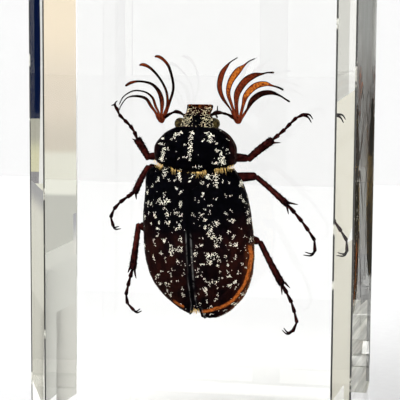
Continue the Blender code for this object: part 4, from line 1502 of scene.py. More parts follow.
@dataclass
class Feeler:
    """One feeler: the stalk of beadlike joints, the cup at the root of the fan and its five blades.

    Attributes:
        side: the side it is on.
        stalk: rows of x, z and width along the stalk.
        cup: rows of x, z and width from the foot of the fan's root to its mouth.
        blades: for each blade, rows of x, z, the width that the viewer sees and the share of amber.
        thorn: rows of x, z and width along the thorn that one stalk bears.
        level: how high it lies, in millimetres.
        thickness: how thick a blade is.
        bluntness: the share of a blade's length over which each end is rounded off.
        hollow: how far a blade's middle is pushed in, as a share of its width.
        turned_width: the width of a blade where the viewer sees it nearly from its edge.
        thinnest: the least width of anything in a feeler, in millimetres.
        steps: how many rings there are between two rows.
        ring: how many points a ring has.
    """

    side: Side
    stalk: tuple[Row, ...]
    cup: tuple[Row, ...]
    blades: tuple[tuple[Row, ...], ...]
    thorn: tuple[Row, ...] = ()
    level: float = 0.5
    thickness: float = 0.13
    bluntness: float = 0.03
    hollow: float = 0.06
    turned_width: float = 0.50
    thinnest: float = 0.08
    steps: int = 8
    ring: int = 20

    def build(self, shell: bpy.types.Material, blade: bpy.types.Material) -> list[bpy.types.Object]:
        """Build the stalk and the fan."""
        skin = Skin()
        route, width = self.route(self.stalk)
        share = shares(route)
        skin.grid(tube(route, width * rounded(share)), brown=0.25 + 0.5 * share[:, None])
        if self.thorn:
            skin.grid(tube(*self.route(self.thorn)), brown=0.1)
        return [skin.piece(f"feeler_{self.side.word}_stalk", shell), self.fan(blade)]

    def route(self, rows: tuple[Row, ...]) -> tuple[np.ndarray, np.ndarray]:
        """Return the points and widths along rows of x, z and width."""
        x, z, width = smooth(tuple(row[:3] for row in rows), self.steps).T
        return np.stack([x, np.full(len(x), -self.level), z], axis=-1), np.maximum(width, self.thinnest)

    def fan(self, material: bpy.types.Material) -> bpy.types.Object:
        """Build the cup and the five blades that spread from it."""
        skin = Skin()
        angles = turns(self.ring)
        edge = np.abs(np.cos(angles))[None, :]
        route, width = self.route(self.cup)
        grid = tube(route, width, 0.25 + 0.25 * width, self.ring)
        skin.grid(grid, amber=0.38 + 0.18 * np.cos(10.0 * angles)[None, :])
        for number, rows in enumerate(self.blades):
            route, width = self.route(rows)
            share = shares(route)
            route[:, 1] -= 0.05 * (number - 2) * ease(0.0, 0.4, share)
            amber = np.clip(smooth(rows, self.steps)[:, 3], 0.0, 1.0)
            full = np.maximum(width, self.turned_width * ease(0.10, 0.30, share) * (1.0 - 0.5 * share**6))
            twist = np.arccos(np.clip(width / full, 0.0, 1.0)) * 0.96 * self.side.value
            blunt = rounded(share, self.bluntness)
            grid = tube(route, full * blunt, self.thickness * blunt, self.ring, twist, self.hollow)
            border = 1.0 - 0.92 * ease(0.66, 0.90, edge) * ease(0.04, 0.14, share)[:, None]
            skin.grid(grid, amber=amber[:, None] * border)
        return skin.piece(f"feeler_{self.side.word}_fan", material)


FEELERS = (
    Feeler(
        Side.LEFT,
        ((-1.5, 11.7, 0.4), (-2.4, 12.05, 0.42), (-2.85, 12.25, 0.34), (-3.3, 12.52, 0.48),
         (-3.9, 12.66, 0.55), (-4.3, 12.55, 0.34), (-4.65, 12.40, 0.36), (-5.0, 12.22, 0.48),
         (-5.4, 11.95, 0.50), (-5.8, 11.6, 0.4)),
        ((-6.16, 10.93, 0.30), (-6.14, 11.05, 0.72), (-6.14, 11.36, 1.10), (-6.17, 11.75, 1.50),
         (-6.2, 12.15, 1.72)),
        (
            ((-5.75, 11.7, 0.42, 0.5), (-5.35, 12.6, 0.40, 0.45), (-4.98, 13.81, 0.36, 0.25),
             (-4.34, 16.23, 0.34, 0.05), (-4.85, 18.81, 0.36, 0.05), (-5.57, 20.06, 0.46, 0.38),
             (-6.52, 20.76, 0.48, 0.50), (-7.23, 20.79, 0.26, 0.1)),
            ((-5.95, 11.7, 0.40, 0.5), (-5.6, 12.6, 0.38, 0.50), (-5.21, 13.8, 0.36, 0.45),
             (-5.4, 15.66, 0.30, 0.20), (-6.36, 17.5, 0.28, 0.05), (-7.7, 18.97, 0.38, 0.15),
             (-8.81, 19.56, 0.52, 0.60), (-9.57, 19.51, 0.26, 0.3)),
            ((-6.17, 11.7, 0.40, 0.5), (-6.1, 12.6, 0.44, 0.50), (-6.06, 14.16, 0.70, 0.30),
             (-6.55, 15.65, 0.60, 0.16), (-7.69, 16.75, 0.38, 0.05), (-9.41, 17.1, 0.28, 0.05),
             (-10.75, 16.9, 0.46, 0.34), (-11.71, 16.37, 0.34, 0.05)),
            ((-6.38, 11.7, 0.40, 0.5), (-6.6, 12.6, 0.38, 0.50), (-7.01, 13.41, 0.36, 0.40),
             (-7.5, 14.7, 0.30, 0.2), (-8.64, 15.53, 0.18, 0.05), (-10.37, 15.69, 0.18, 0.05),
             (-11.9, 14.84, 0.16, 0.1), (-12.67, 13.52, 0.10, 0.1)),
            ((-6.60, 11.7, 0.42, 0.5), (-7.08, 12.6, 0.42, 0.45), (-7.68, 13.4, 0.45, 0.35),
             (-8.45, 14.51, 0.45, 0.14), (-9.79, 14.9, 0.34, 0.05), (-11.33, 14.66, 0.14, 0.05),
             (-12.29, 13.52, 0.14, 0.1), (-12.63, 12.68, 0.10, 0.1)),
        ),
    ),
    Feeler(
        Side.RIGHT,
        ((0.6, 11.7, 0.4), (1.25, 12.1, 0.40), (1.65, 12.35, 0.46), (2.1, 12.56, 0.66),
         (2.6, 12.62, 0.60), (3.1, 12.56, 0.36), (3.45, 12.48, 0.42), (3.9, 12.34, 0.36),
         (4.35, 12.12, 0.50), (5.0, 11.7, 0.5)),
        ((5.46, 10.98, 0.30), (5.46, 11.1, 0.76), (5.45, 11.40, 1.15), (5.43, 11.75, 1.50),
         (5.42, 12.1, 1.74)),
        (
            ((5.02, 11.7, 0.40, 0.5), (4.66, 12.4, 0.36, 0.40), (4.23, 13.2, 0.26, 0.25),
             (3.09, 14.84, 0.55, 0.30), (2.61, 16.49, 0.78, 0.45), (2.97, 18.33, 0.82, 0.48),
             (3.8, 19.62, 0.42, 0.30), (4.36, 20.18, 0.15, 0.05), (5.32, 20.77, 0.11, 0.0)),
            ((5.22, 11.7, 0.40, 0.5), (4.95, 12.5, 0.42, 0.50), (4.41, 13.93, 0.46, 0.50),
             (3.93, 15.58, 0.66, 0.68), (4.29, 17.24, 0.90, 0.95), (5.3, 18.72, 1.00, 1.0),
             (6.22, 19.55, 0.40, 0.6), (6.96, 20.2, 0.15, 0.1), (7.94, 20.66, 0.12, 0.0)),
            ((5.44, 11.7, 0.40, 0.5), (5.3, 12.6, 0.50, 0.50), (5.16, 13.94, 0.62, 0.45),
             (5.33, 15.6, 0.98, 0.45), (6.43, 17.26, 1.06, 0.43), (7.72, 18.1, 0.85, 0.36),
             (9.02, 18.39, 0.30, 0.12), (9.75, 18.58, 0.20, 0.0), (10.77, 18.59, 0.36, 0.0)),
            ((5.66, 11.7, 0.40, 0.5), (5.9, 12.6, 0.46, 0.55), (6.19, 13.77, 0.50, 0.60),
             (6.64, 15.25, 0.88, 0.90), (7.93, 16.55, 0.98, 1.0), (9.4, 16.93, 0.75, 0.88),
             (10.52, 16.67, 0.24, 0.3), (11.44, 16.4, 0.26, 0.1), (12.18, 16.05, 0.32, 0.05)),
            ((5.88, 11.7, 0.42, 0.5), (6.4, 12.5, 0.42, 0.40), (6.85, 13.23, 0.40, 0.20),
             (7.58, 14.53, 0.85, 0.14), (8.87, 15.46, 0.85, 0.12), (10.34, 15.66, 0.65, 0.12),
             (11.64, 15.22, 0.24, 0.05), (12.39, 14.77, 0.22, 0.1), (13.13, 14.32, 0.32, 0.1)),
        ),
        thorn=((2.35, 12.45, 0.26), (2.33, 13.0, 0.20), (2.35, 13.62, 0.12)),
    ),
)


# ----------------------------------------
# The legs
# ----------------------------------------


@dataclass
class Leg:
    """One leg: thigh, shin with its thorns, foot of five joints and two claws, as x and z points.

    Attributes:
        name: the leg's name.
        femur: the ends of the thigh.
        femur_width: how thick it is.
        tibia: points along the shin.
        tibia_widths: how thick the shin is at its top, middle and foot.
        thorns: the root and tip of each thorn.
        tarsus: points along the foot.
        claws: the root, bend and tip of each claw.
        hip_level: how high the hip lies, in millimetres.
        knee_level: how high the knee lies.
        foot_width: how wide the foot's joints are.
        claw_width: how thick a claw is at its root.
        tooth_width: how thick the small tooth on it is.
        claw_spread: how far the claws stand apart in depth.
        thorn_width: how thick a thorn is at its root.
        foot_joints: how many joints the foot has.
        overlap: how much longer than its room a joint is.
        sides: how many points a ring of the thigh or shin has.
    """

    name: str
    femur: tuple[Row, ...]
    femur_width: float
    tibia: tuple[Row, ...]
    tibia_widths: Row
    thorns: tuple
    tarsus: tuple[Row, ...]
    claws: tuple
    hip_level: float = -0.2
    knee_level: float = 0.1
    foot_width: float = 0.60
    claw_width: float = 0.42
    tooth_width: float = 0.03696
    claw_spread: float = 0.4
    thorn_width: float = 0.42
    foot_joints: int = 5
    overlap: float = 1.08
    sides: int = 20

    def build(
        self, shell: bpy.types.Material, joints: JointGrowth, joint: bpy.types.Object, bristles: HairGrowth,
    ) -> list[bpy.types.Object]:
        """Build the leg, its foot and its bristles.

        Args:
            shell: the leg's material.
            joints: what sets the joints along the foot.
            joint: the pattern of one joint.
            bristles: what the bristles grow from.

        Returns:
            The pieces.
        """
        limb = self.limb(shell)
        foot = joints.run(self.foot_guide(), f"leg_{self.name}_foot", Joint=joint)
        hair = bristles.run(
            copy_of(limb), f"leg_{self.name}_bristles", Density=8.0, Length=0.34, Girth=0.05, Lay=0.1,
            Spread=0.35, Seed=20,
        )
        return [limb, foot, hair]

    def limb(self, shell: bpy.types.Material) -> bpy.types.Object:
        """Build thigh, shin, thorns and claws as one piece."""
        skin = Skin()
        angles = turns(self.sides)
        # Painted shade: this share is 1 where a leg faces the viewer and nearly 0 at the edges that the
        # viewer sees, so the brown turns black along each side.
        middle = 1.0 - 0.95 * np.abs(np.cos(angles))[None, :] ** 1.6
        self.add_femur(skin, middle)
        self.add_tibia(skin, middle, 0.06 * np.cos(angles * 4)[None, :, None])
        for root, tip in self.thorns:
            line = self.line(((*root, 0.05), (*between(root, tip, 0.6), 0.12), (*tip, 0.0)), 8)
            skin.grid(self.spike(line, self.thorn_width, 1.0, 0.8, 0.05), brown=0.4)
        for number, (root, bend, tip) in enumerate(self.claws):
            lean = self.claw_spread * (number - 0.5)
            line = self.line(((*root, 0.0), (*bend, lean), (*tip, lean * 1.2)), 9)
            skin.grid(self.spike(line, self.claw_width, 1.1, 0.85, 0.05), brown=0.1)
            start, end = between(root, bend, 0.8), between(between(root, bend, 1.2), tip, 0.25)
            tooth = self.line(((*start, lean), (*end, lean)), 5)
            skin.grid(self.spike(tooth, self.tooth_width, 0.9, 0.7, 0.1, 6), brown=0.1)
        return skin.piece(f"leg_{self.name}", shell)

    def add_femur(self, skin: Skin, middle: np.ndarray) -> None:
        """Add the thigh to a skin, browner where the share called middle is high, so that it has painted
        shade at the edges that the viewer sees.
        """
        ends = zip(self.femur, (self.hip_level, self.knee_level))
        line = self.line(tuple((*point, level) for point, level in ends), 24)
        share = shares(line)
        swell = self.femur_width * (0.78 + 0.24 * np.sin(math.pi * share**0.8)) * rounded(share, 0.1)
        brown = 0.55 + 0.3 * ease(0.2, 0.7, share)[:, None]
        skin.grid(tube(line, swell, swell * 0.8, self.sides), brown=brown * middle)

    def add_tibia(self, skin: Skin, middle: np.ndarray, facets: np.ndarray) -> None:
        """Add the shin to a skin, with its facets, notches, the place of its bristles and painted shade at
        the edges that the viewer sees.
        """
        levels = (self.knee_level, self.knee_level / 2, 0.0)
        line = self.line(tuple((*point, level) for point, level in zip(self.tibia, levels)), 18)
        share = shares(line)
        girth = np.interp(share, (0.0, 0.5, 1.0), self.tibia_widths) * rounded(share, 0.06)
        girth *= 1.0 + 0.07 * np.sin(share * 46.0) * ease(0.1, 0.3, share)
        grid = tube(line, girth, girth * 0.82, self.sides)
        grid = grid + (grid - line[:, None]) * facets
        brown = 1.05 * middle * ease(1.05, 0.7, share)[:, None]
        skin.grid(grid, brown=brown, hair=ease(0.15, 0.4, share)[:, None])

    @staticmethod
    def spike(
        line: np.ndarray, width: float, root: float, taper: float, blunt: float, sides: int = 8,
    ) -> np.ndarray:
        """Return the rings of a thorn, claw or tooth.

        Args:
            line: its middle line.
            width: its usual width.
            root: the share of that width at its root.
            taper: how much of that share it has lost at its tip.
            blunt: the share of its length over which each end is rounded off.
            sides: how many points a ring has.
        """
        share = shares(line)
        return tube(line, width * (root - taper * share) * rounded(share, blunt), sides=sides)

    @staticmethod
    def line(points: tuple[Row, ...], steps: int) -> np.ndarray:
        """Return a smooth line through x, z and out points, as x, y and z."""
        x, z, out = smooth(points, steps).T
        return np.stack([x, -out, z], axis=-1)

    def foot_guide(self) -> bpy.types.Object:
        """Return one point for each joint of the foot, with where it points and how big it is."""
        ankle, middle = self.tibia[-1], self.tibia[1]
        line = self.line(tuple((*point, 0.0) for point in (between(ankle, middle, 0.1), *self.tarsus)), 12)
        run = np.concatenate([[0.0], np.cumsum(np.linalg.norm(np.diff(line, axis=0), axis=1))])
        marks = np.linspace(0.0, run[-1], self.foot_joints + 1)
        stops = np.stack([np.interp(marks, run, line[:, axis]) for axis in range(3)], axis=-1)
        aim = np.diff(stops, axis=0)
        reach = np.linalg.norm(aim, axis=1)
        mesh = bpy.data.meshes.new("foot_guide")
        mesh.from_pydata(LAYOUT.world(stops[:-1]), [], [])
        girth = self.foot_width * np.linspace(1.1, 0.9, self.foot_joints)
        for name, kind, key, values in (
            ("aim", "FLOAT_VECTOR", "vector", aim),
            ("reach", "FLOAT", "value", reach * self.overlap),
            ("girth", "FLOAT", "value", girth),
        ):
            layer = mesh.attributes.new(name, kind, "POINT")
            layer.data.foreach_set(key, values.astype(np.float32).ravel())
        return placed("foot_guide", mesh)


def between(start: Row, end: Row, share: float) -> Row:
    """Return the point at some share of the way between two."""
    return tuple(a + (b - a) * share for a, b in zip(start, end))


LEGS = (
    Leg("left_fore", ((-3.4, 6.0), (-8.3, 5.9)), 1.3,
        ((-8.0, 5.4), (-8.9, 6.9), (-10.0, 8.6)), (0.9, 1.1, 1.2),
        (((-9.6, 8.0), (-10.7, 8.5)),),
        ((-10.6, 10.0), (-11.8, 11.2), (-12.7, 12.1), (-13.1, 13.1)),
        (((-13.1, 12.9), (-13.5, 13.5), (-14.0, 13.4)), ((-13.1, 12.9), (-13.3, 13.7), (-12.9, 14.2)))),
    Leg("left_middle", ((-4.0, 3.0), (-8.2, 4.4)), 1.3,
        ((-8.0, 4.5), (-9.2, 2.6), (-10.3, 0.2)), (0.9, 0.9, 1.0),
        (((-10.1, 0.4), (-10.0, -0.7)), ((-10.3, 0.5), (-11.1, 0.3))),
        ((-12.1, -0.8), (-13.4, -2.1), (-14.0, -3.6), (-13.6, -4.8)),
        (((-13.7, -4.6), (-13.3, -5.3), (-12.4, -5.2)), ((-13.7, -4.6), (-13.4, -5.0), (-12.6, -4.8)))),
    Leg("left_hind", ((-4.5, -6.4), (-9.6, -4.5)), 1.5,
        ((-9.6, -4.2), (-10.1, -7.9), (-10.6, -11.5)), (0.8, 0.9, 1.15),
        (((-10.9, -11.0), (-11.3, -11.9)), ((-10.3, -11.2), (-10.0, -12.8))),
        ((-11.2, -13.6), (-11.6, -15.6), (-11.2, -16.9), (-10.4, -17.6)),
        (((-10.5, -17.5), (-9.9, -18.0), (-9.1, -17.7)), ((-10.5, -17.5), (-10.0, -17.8), (-9.3, -17.3)))),
    Leg("right_fore", ((2.6, 6.1), (7.1, 5.9)), 1.35,
        ((6.8, 5.6), (8.6, 7.2), (10.7, 8.8)), (0.95, 1.1, 1.15),
        (((10.1, 8.3), (11.8, 8.3)),),
        ((12.4, 10.3), (13.4, 11.4), (14.3, 12.2), (15.1, 12.5)),
        (((14.9, 12.5), (15.9, 12.5), (16.5, 11.8)), ((14.9, 12.5), (15.8, 12.1), (16.3, 11.3)))),
    Leg("right_middle", ((3.0, 2.8), (8.4, 3.3)), 1.45,
        ((8.1, 3.3), (10.4, 1.4), (13.1, -1.0)), (0.75, 0.8, 1.0),
        (((12.9, -0.5), (14.5, -0.8)), ((12.8, -0.8), (13.1, -2.3))),
        ((14.7, -2.8), (16.0, -4.5), (17.1, -6.2), (17.1, -7.6)),
        (((17.2, -7.3), (16.6, -8.3), (15.3, -8.3)), ((17.2, -7.3), (16.7, -8.0), (15.6, -7.8)))),
    Leg("right_hind", ((3.6, -5.2), (8.9, -6.5)), 1.4,
        ((8.8, -6.3), (10.5, -9.6), (12.4, -13.0)), (0.8, 0.9, 1.1),
        (((12.2, -12.6), (12.3, -14.4)), ((12.6, -12.4), (13.5, -13.3))),
        ((13.8, -15.6), (14.3, -17.4), (14.6, -18.8), (14.0, -19.8)),
        (((14.1, -19.6), (13.2, -20.3), (12.3, -19.7)), ((14.1, -19.6), (13.3, -20.0), (12.6, -19.3)))),
)


@dataclass
class FootJoint:
    """The pattern of one joint of a foot: a narrow neck that flares to a rounded end."""

    profile: tuple[Row, ...] = (
        (0.0, 0.20), (0.06, 0.52), (0.3, 0.66), (0.75, 0.98), (0.92, 0.95), (1.0, 0.55),
    )
    sides: int = 10
    steps: int = 3

    def build(self, shell: bpy.types.Material) -> bpy.types.Object:
        """Build the joint one millimetre long along Z, as a hidden pattern."""
        height, width = smooth(self.profile, self.steps).T
        angles = turns(self.sides)
        ring = np.stack([np.cos(angles), np.sin(angles)], axis=-1)
        flat = ring[None] * width[:, None, None] / 2
        grid = np.concatenate([flat, np.broadcast_to(height[:, None, None], (*flat.shape[:2], 1))], axis=-1)
        pattern = skin_of("foot_joint_pattern", grid, shell, brown=0.3)
        pattern.data.transform(Matrix.Translation(-Vector(LAYOUT.centre())))
        return pattern


# ----------------------------------------
# The stage
# ----------------------------------------


STREAK_GAIN = 2.2
"""How much brighter a streak is than its board."""
STREAK_STRETCH = (1.0, 0.03, 0.03)
STREAK_TURN = -0.07


@dataclass(frozen=True)
class Card:
    """A board of painted reflection: the camera doesn't see it and it casts no light or shadow, so its
    colour shows only in the block's mirroring faces or through the block.

    Attributes:
        name: its name.
        corners: its corners in metres.
        colour: its colour against the paper's, at its top where it has two.
        low_colour: its colour lower down.
        heights: where the one colour has turned into the other, in metres.
        axis: 2 where the two colours meet at a height, 1 where they meet along the table.
        streaks: how strongly it is streaked.
        one_way: whether it shows only from the side that its corners run round anticlockwise.
        mirrored: whether it shows in the block's mirroring faces.
        refracted: whether it shows through the block.
    """

    name: str
    corners: tuple[Row, ...]
    colour: Colour
    low_colour: Colour | None = None
    heights: Row = (0.0, 0.1)
    axis: int = 2
    streaks: float = 0.0
    one_way: bool = False
    mirrored: bool = False
    refracted: bool = True

    def finish(self) -> bpy.types.Material:
        """Make the card's material."""
        paint = Paint(self.name.replace("_", " "))
        top = tuple(channel * PAPER for channel in self.colour)
        low = tuple(channel * PAPER for channel in self.low_colour or self.colour)
        pale = tuple(channel * STREAK_GAIN for channel in top)
        height = paint.add("ShaderNodeSeparateXYZ", {0: paint.place}).outputs[self.axis]
        colour = paint.blend(paint.between(height, *self.heights), low, top)
        streak = paint.grain(1.1, 3.0, STREAK_STRETCH, STREAK_TURN)
        streak = paint.between(streak, 0.40, 0.66, 0.0, self.streaks)
        paint.coat(paint.blend(streak, colour, pale), UNSEEN, 3.0, (0.85, 0.95))
        if self.one_way:
            behind = paint.add("ShaderNodeNewGeometry").outputs["Backfacing"]
            through = paint.out("ShaderNodeBsdfTransparent")
            mixed = paint.add("ShaderNodeMixShader", {0: behind, 1: paint.shader.outputs[0], 2: through})
            paint.tree.links.new(mixed.outputs[0], paint.output.inputs["Surface"])
        return paint.material


def upright(left: float, right: float, low: float, high: float, y: float = 0.39) -> tuple[Row, ...]:
    """Return the corners of a board that stands across the view."""
    return (left, y, low), (right, y, low), (right, y, high), (left, y, high)


def flat(left: float, right: float, near: float, far: float, z: float = 0.001) -> tuple[Row, ...]:
    """Return the corners of a board that lies on the table."""
    return (left, near, z), (right, near, z), (right, far, z), (left, far, z)


def fence(start: Row, end: Row, height: float) -> tuple[Row, ...]:
    """Return the corners of a board that stands on the table from one x and y to another."""
    return (*start, 0.0), (*end, 0.0), (*end, height), (*start, height)


BLACK = (0.01, 0.01, 0.015)
IVORY = (2.00, 1.95, 1.74)
MAUVE = (0.81, 0.72, 0.59)
STONE = (0.69, 0.63, 0.52)
DUSK = (0.03, 0.03, 0.025)
STRIP = (-0.0155, -0.0083)
"""The left and right edges of the navy, buff and slate boards, which stand on each other."""
BAND = (0.080, 0.20)
"""The left and right edges of the cream, mauve and pale boards, which stand on each other."""
TALL = 0.40
"""The top of the boards that reach higher than the block shows."""
MIRROR = {"mirrored": True, "refracted": False}
"""For the boards that show in mirroring faces and not through the block."""
CARDS = (
    # In front of the block and to its left: black boards of painted shade, which only the block shows and
    # which block no light, and one pale board.
    Card("front_flag", upright(-0.22, 0.06, 0.0, 0.18, -0.45), BLACK, **MIRROR),
    Card("table_flag", flat(-0.22, 0.06, -0.45, -0.024), BLACK, **MIRROR),
    Card("left_flag", fence((-0.22, -0.45), (-0.22, 0.02), 0.18), BLACK, **MIRROR),
    Card("slot_flag", (
        (-0.0085, -0.62, 0.0190), (-0.0085, -0.62, 0.120),
        (-0.0085, -0.28, 0.110), (-0.0085, -0.28, 0.0355),
    ), BLACK, one_way=True),
    Card("side_flag", upright(-0.063, -0.049, 0.0, 0.12, -0.4495), (1.70, 1.70, 1.62), (0.75, 0.75, 0.72),
         (0.02, 0.07)),
    # Behind the block: painted light on the table just behind it, where the block's shadow falls, then the
    # dark strip and the blades beside it.
    Card("floor_glow", flat(-0.15, 0.022, 0.0201, 0.125, 0.0005), (1.0, 1.0, 1.0), (1.50, 1.50, 1.47),
         (0.02, 0.11), 1),
    Card("navy_card", upright(*STRIP, 0.029, 0.30), (0.0028, 0.0088, 0.045)),
    Card("buff_card", upright(*STRIP, 0.006, 0.029), (0.50, 0.49, 0.42), (0.79, 0.77, 0.54),
         (0.013, 0.022)),
    Card("slate_card", upright(*STRIP, 0.0, 0.006), (0.34, 0.33, 0.35)),
    Card("bevel_blade_far", fence((-0.0242, 0.170), (-0.0134, 0.050), 0.0284), (0.62, 0.62, 0.64),
         (1.12, 1.11, 1.01), (0.022, 0.027), one_way=True),
    Card("bevel_blade_near", fence((-0.0221, 0.0496), (-0.0194, 0.0201), 0.0161), (0.99, 0.98, 0.89),
         one_way=True),
    # The pale band with its three tones, and a grey sheet on the table with its blades, painted so that
    # they show only through the block.
    Card("cream_card", upright(*BAND, 0.0365, TALL), (0.99, 0.85, 0.645), MAUVE, (0.0365, 0.072)),
    Card("mauve_card", upright(*BAND, 0.0155, 0.0365), MAUVE, STONE, (0.019, 0.034)),
    Card("pale_card", upright(*BAND, 0.0, 0.0155), STONE, (0.83, 0.82, 0.70), (0.0115, 0.0150)),
    Card("grey_sheet", (
        (0.011, 0.12, 0.001), (0.22, 0.12, 0.001), (0.22, 0.389, 0.001), (-0.0155, 0.389, 0.001),
    ), (0.82, 0.82, 0.72), (0.52, 0.52, 0.465), (0.322, 0.338), 1),
    Card("grey_blade_1", fence((-0.0113, 0.064), (-0.0113, 0.020), 0.0225), (1.06, 1.06, 0.96),
         (1.0, 1.0, 0.91), (0.004, 0.014), one_way=True),
    Card("grey_blade_2", fence((-0.0170, 0.045), (-0.0170, 0.020), 0.0225), (1.02, 1.02, 0.93),
         (1.10, 1.10, 1.01), (0.004, 0.014), one_way=True),
    # The ivory and pearl boards at the far left, and the bright blades on the way to them.
    Card("ivory_card", upright(-0.30, -0.1425, 0.0, TALL), (0.66, 0.64, 0.56)),
    Card("pearl_card", upright(-0.1425, -0.1337, 0.0, TALL), (0.68, 0.68, 0.65)),
    Card("ivory_blade_far", fence((-0.0015, 0.030), (-0.1014, 0.320), 0.045), (2.12, 2.06, 1.84),
         one_way=True),
    Card("ivory_blade_near", fence((0.0054, 0.0201), (-0.0220, 0.0996), 0.030), IVORY, one_way=True),
    Card("ivory_slat_1", fence((0.0075, 0.0201), (-0.0085, 0.1001), 0.025), IVORY, one_way=True),
    Card("ivory_slat_2", fence((0.0120, 0.0201), (0.0020, 0.0701), 0.025), IVORY, one_way=True),
    # Beside the block at the right: dark boards that only its side face mirrors, as painted reflections of
    # a dark band, a dark wedge and a dark line along its far edge.
    Card("side_card", upright(0.030, 0.078, 0.0, TALL), (0.10, 0.105, 0.10), (0.040, 0.030, 0.020),
         (0.046, 0.078), streaks=0.35, **MIRROR),
    Card("side_sheet", flat(0.0235, 0.060, 0.105, 0.389, 0.002), (0.035, 0.030, 0.022), streaks=0.35,
         **MIRROR),
    Card("side_foot", flat(0.0235, 0.060, 0.020, 0.105, 0.002), (0.26, 0.26, 0.22), streaks=0.9, **MIRROR),
    Card("side_wedge", (
        (0.0374, 0.170, 0.003), (0.0328, 0.170, 0.003), (0.0287, 0.106, 0.003), (0.030, 0.094, 0.003),
    ), (0.010, 0.009, 0.007), **MIRROR),
    Card("edge_card", upright(0.0478, 0.0490, 0.0, TALL, 0.388), DUSK, streaks=0.6, **MIRROR),
    Card("edge_sheet", (
        (0.0230, 0.0200, 0.004), (0.0236, 0.0200, 0.004), (0.0488, 0.388, 0.004), (0.0478, 0.388, 0.004),
    ), DUSK, **MIRROR),
)


@dataclass
class Stage:
    """The table, the wall behind it, the boards of painted reflection that only the block shows, and the
    light.

    Attributes:
        wall_y: where the wall stands, in metres.
        reach: how far the table goes, in metres.
        gap: how far the table is under the block, in metres.
        sky: how bright the sky is.
        lamp: how much brighter it is in the middle of the lamp.
        lamp_way: where the lamp is.
        lamp_span: the cosines of the angles from it at which its light begins and is full.
        lamp_heights: how high in the sky its light begins and is full.
    """

    wall_y: float = 0.40
    reach: float = 3.0
    gap: float = 0.0002
    sky: float = 1.8
    lamp: float = 8.0
    lamp_way: Row = (-0.30, -0.70, 0.65)
    lamp_span: Row = (0.62, 0.97)
    lamp_heights: Row = (0.10, 0.38)

    def board(self, name: str, corners: tuple[Row, ...], material: bpy.types.Material) -> bpy.types.Object:
        """Build a flat four-cornered stage piece."""
        mesh = bpy.data.meshes.new(name)
        mesh.from_pydata(corners, [], [tuple(range(len(corners)))])
        mesh.materials.append(material)
        made = placed(name, mesh)
        return made

    def build(self) -> None:
        """Build the stage and its light."""
        reach, y = self.reach, self.wall_y
        paper = CardFinish("pale table", (PAPER, PAPER, PAPER)).make()
        self.board("floor", flat(-reach, reach, -reach, y, -self.gap), paper)
        wall = CardFinish("white wall", (PAPER, PAPER, PAPER)).make()
        self.board("wall", upright(-reach / 3, reach / 3, -self.gap, reach / 3, y), wall)
        for card in CARDS:
            board = self.board(card.name, card.corners, card.finish())
            board.visible_camera = False
            board.visible_diffuse = False
            board.visible_shadow = False
            board.visible_glossy = card.mirrored
            board.visible_transmission = card.refracted
        self.light()

    def light(self) -> None:
        """Light the stage by a soft white sky, with one wide soft lamp in it above the camera."""
        world = bpy.data.worlds.new("studio")
        bpy.context.scene.world = world
        world.use_nodes = True
        sheet = Sheet(world.node_tree)
        back = world.node_tree.nodes["Background"]
        way = sheet.add("ShaderNodeTexCoord").outputs["Generated"]
        toward = Vector(self.lamp_way).normalized()
        near = sheet.vectors("DOT_PRODUCT", way, tuple(toward)).outputs["Value"]
        height = sheet.add("ShaderNodeSeparateXYZ", {0: way}).outputs[2]
        near = sheet.maths("MULTIPLY", near, sheet.between(height, *self.lamp_heights))
        glow = sheet.between(near, *self.lamp_span, self.sky, self.sky + self.lamp)
        sheet.tree.links.new(glow, back.inputs["Strength"])
        back.inputs["Color"].default_value = (1.0, 1.0, 1.0, 1.0)


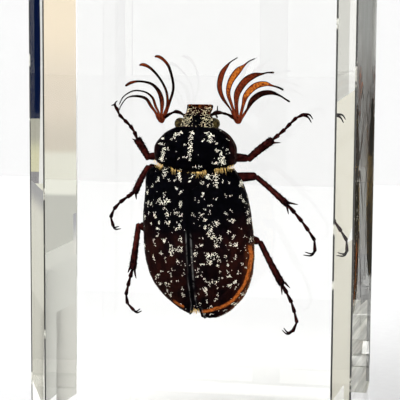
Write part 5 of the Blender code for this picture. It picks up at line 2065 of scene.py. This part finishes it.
@dataclass
class View:
    """The camera of the photo, fitted to the block's edges."""

    place: Row = (0.03749, -0.2015, 0.0581)
    yaw: float = 0.193
    pitch: float = -0.109
    roll: float = 0.0065
    lens: float = 122.2
    sensor: float = 36.0

    def build(self) -> None:
        """Set up the camera and the colours of the picture."""
        camera = bpy.data.cameras.new("camera")
        camera.sensor_width = self.sensor
        camera.lens = self.lens
        camera.clip_start = 0.01
        made = placed("camera", camera)
        level = Matrix.Rotation(math.radians(90.0), 4, "X")
        turned = Matrix.Rotation(self.yaw, 4, "Y") @ Matrix.Rotation(self.pitch, 4, "X")
        turned = level @ turned @ Matrix.Rotation(self.roll, 4, "Z")
        made.matrix_world = Matrix.Translation(self.place) @ turned
        scene = bpy.context.scene
        scene.camera = made
        scene.view_settings.view_transform = "Standard"
        scene.view_settings.look = "None"
        scene.cycles.max_bounces = 20
        scene.cycles.transmission_bounces = 16
        scene.cycles.glossy_bounces = 12
        scene.cycles.use_denoising = True


def main() -> None:
    """Build every piece, join them to the CAD body and set the stage."""
    logging.basicConfig(level=logging.INFO, format="%(message)s")
    View().build()
    shell = ShellFinish("beetle shell").make()
    leg_shell = ShellFinish("leg shell", pit=0.3, pit_depth=0.015, brown=(0.042, 0.0066, 0.0048)).make()
    cream = ScaleGrowth(ScaleFinish("cream scales").make())
    straw = ScaleGrowth(ScaleFinish("straw scales", (0.95, 0.84, 0.56), (0.75, 0.56, 0.25), 0.8).make())
    golden = HairGrowth(HairFinish("golden hair").make())
    dark_hair = HairGrowth(HairFinish("dark bristles", (0.05, 0.022, 0.012), (0.012, 0.006, 0.004)).make())
    blades = BladeFinish().make()
    eyes = EyeGrowth(EyeFinish().make())
    feet = JointGrowth(leg_shell)

    pieces = WingCases().build(shell, cream)
    pieces += Pronotum().build(shell, cream)
    pieces += Head().build(shell, eyes, straw)
    pieces += Scutellum().build(shell, cream)
    pieces += Underside().build(shell, golden)
    pieces += Fringes().build(shell, golden)
    for feeler in FEELERS:
        pieces += feeler.build(shell, blades)
    joint = FootJoint().build(leg_shell)
    for leg in LEGS:
        pieces += leg.build(leg_shell, feet, joint, dark_hair)
    bpy.data.objects.remove(joint)
    for piece in pieces:
        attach(piece, BODY)
        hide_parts("beetle")
        LOG.info("%s: %d faces", piece.name, len(piece.data.polygons))

    block = ResinBlock().build(ResinFinish().make(), ArrisFinish().make())
    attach(block, BODY)
    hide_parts("resin_front", "resin_back")
    LOG.info("%s: %d faces", block.name, len(block.data.polygons))
    Stage().build()


if __name__ == "__main__":
    main()
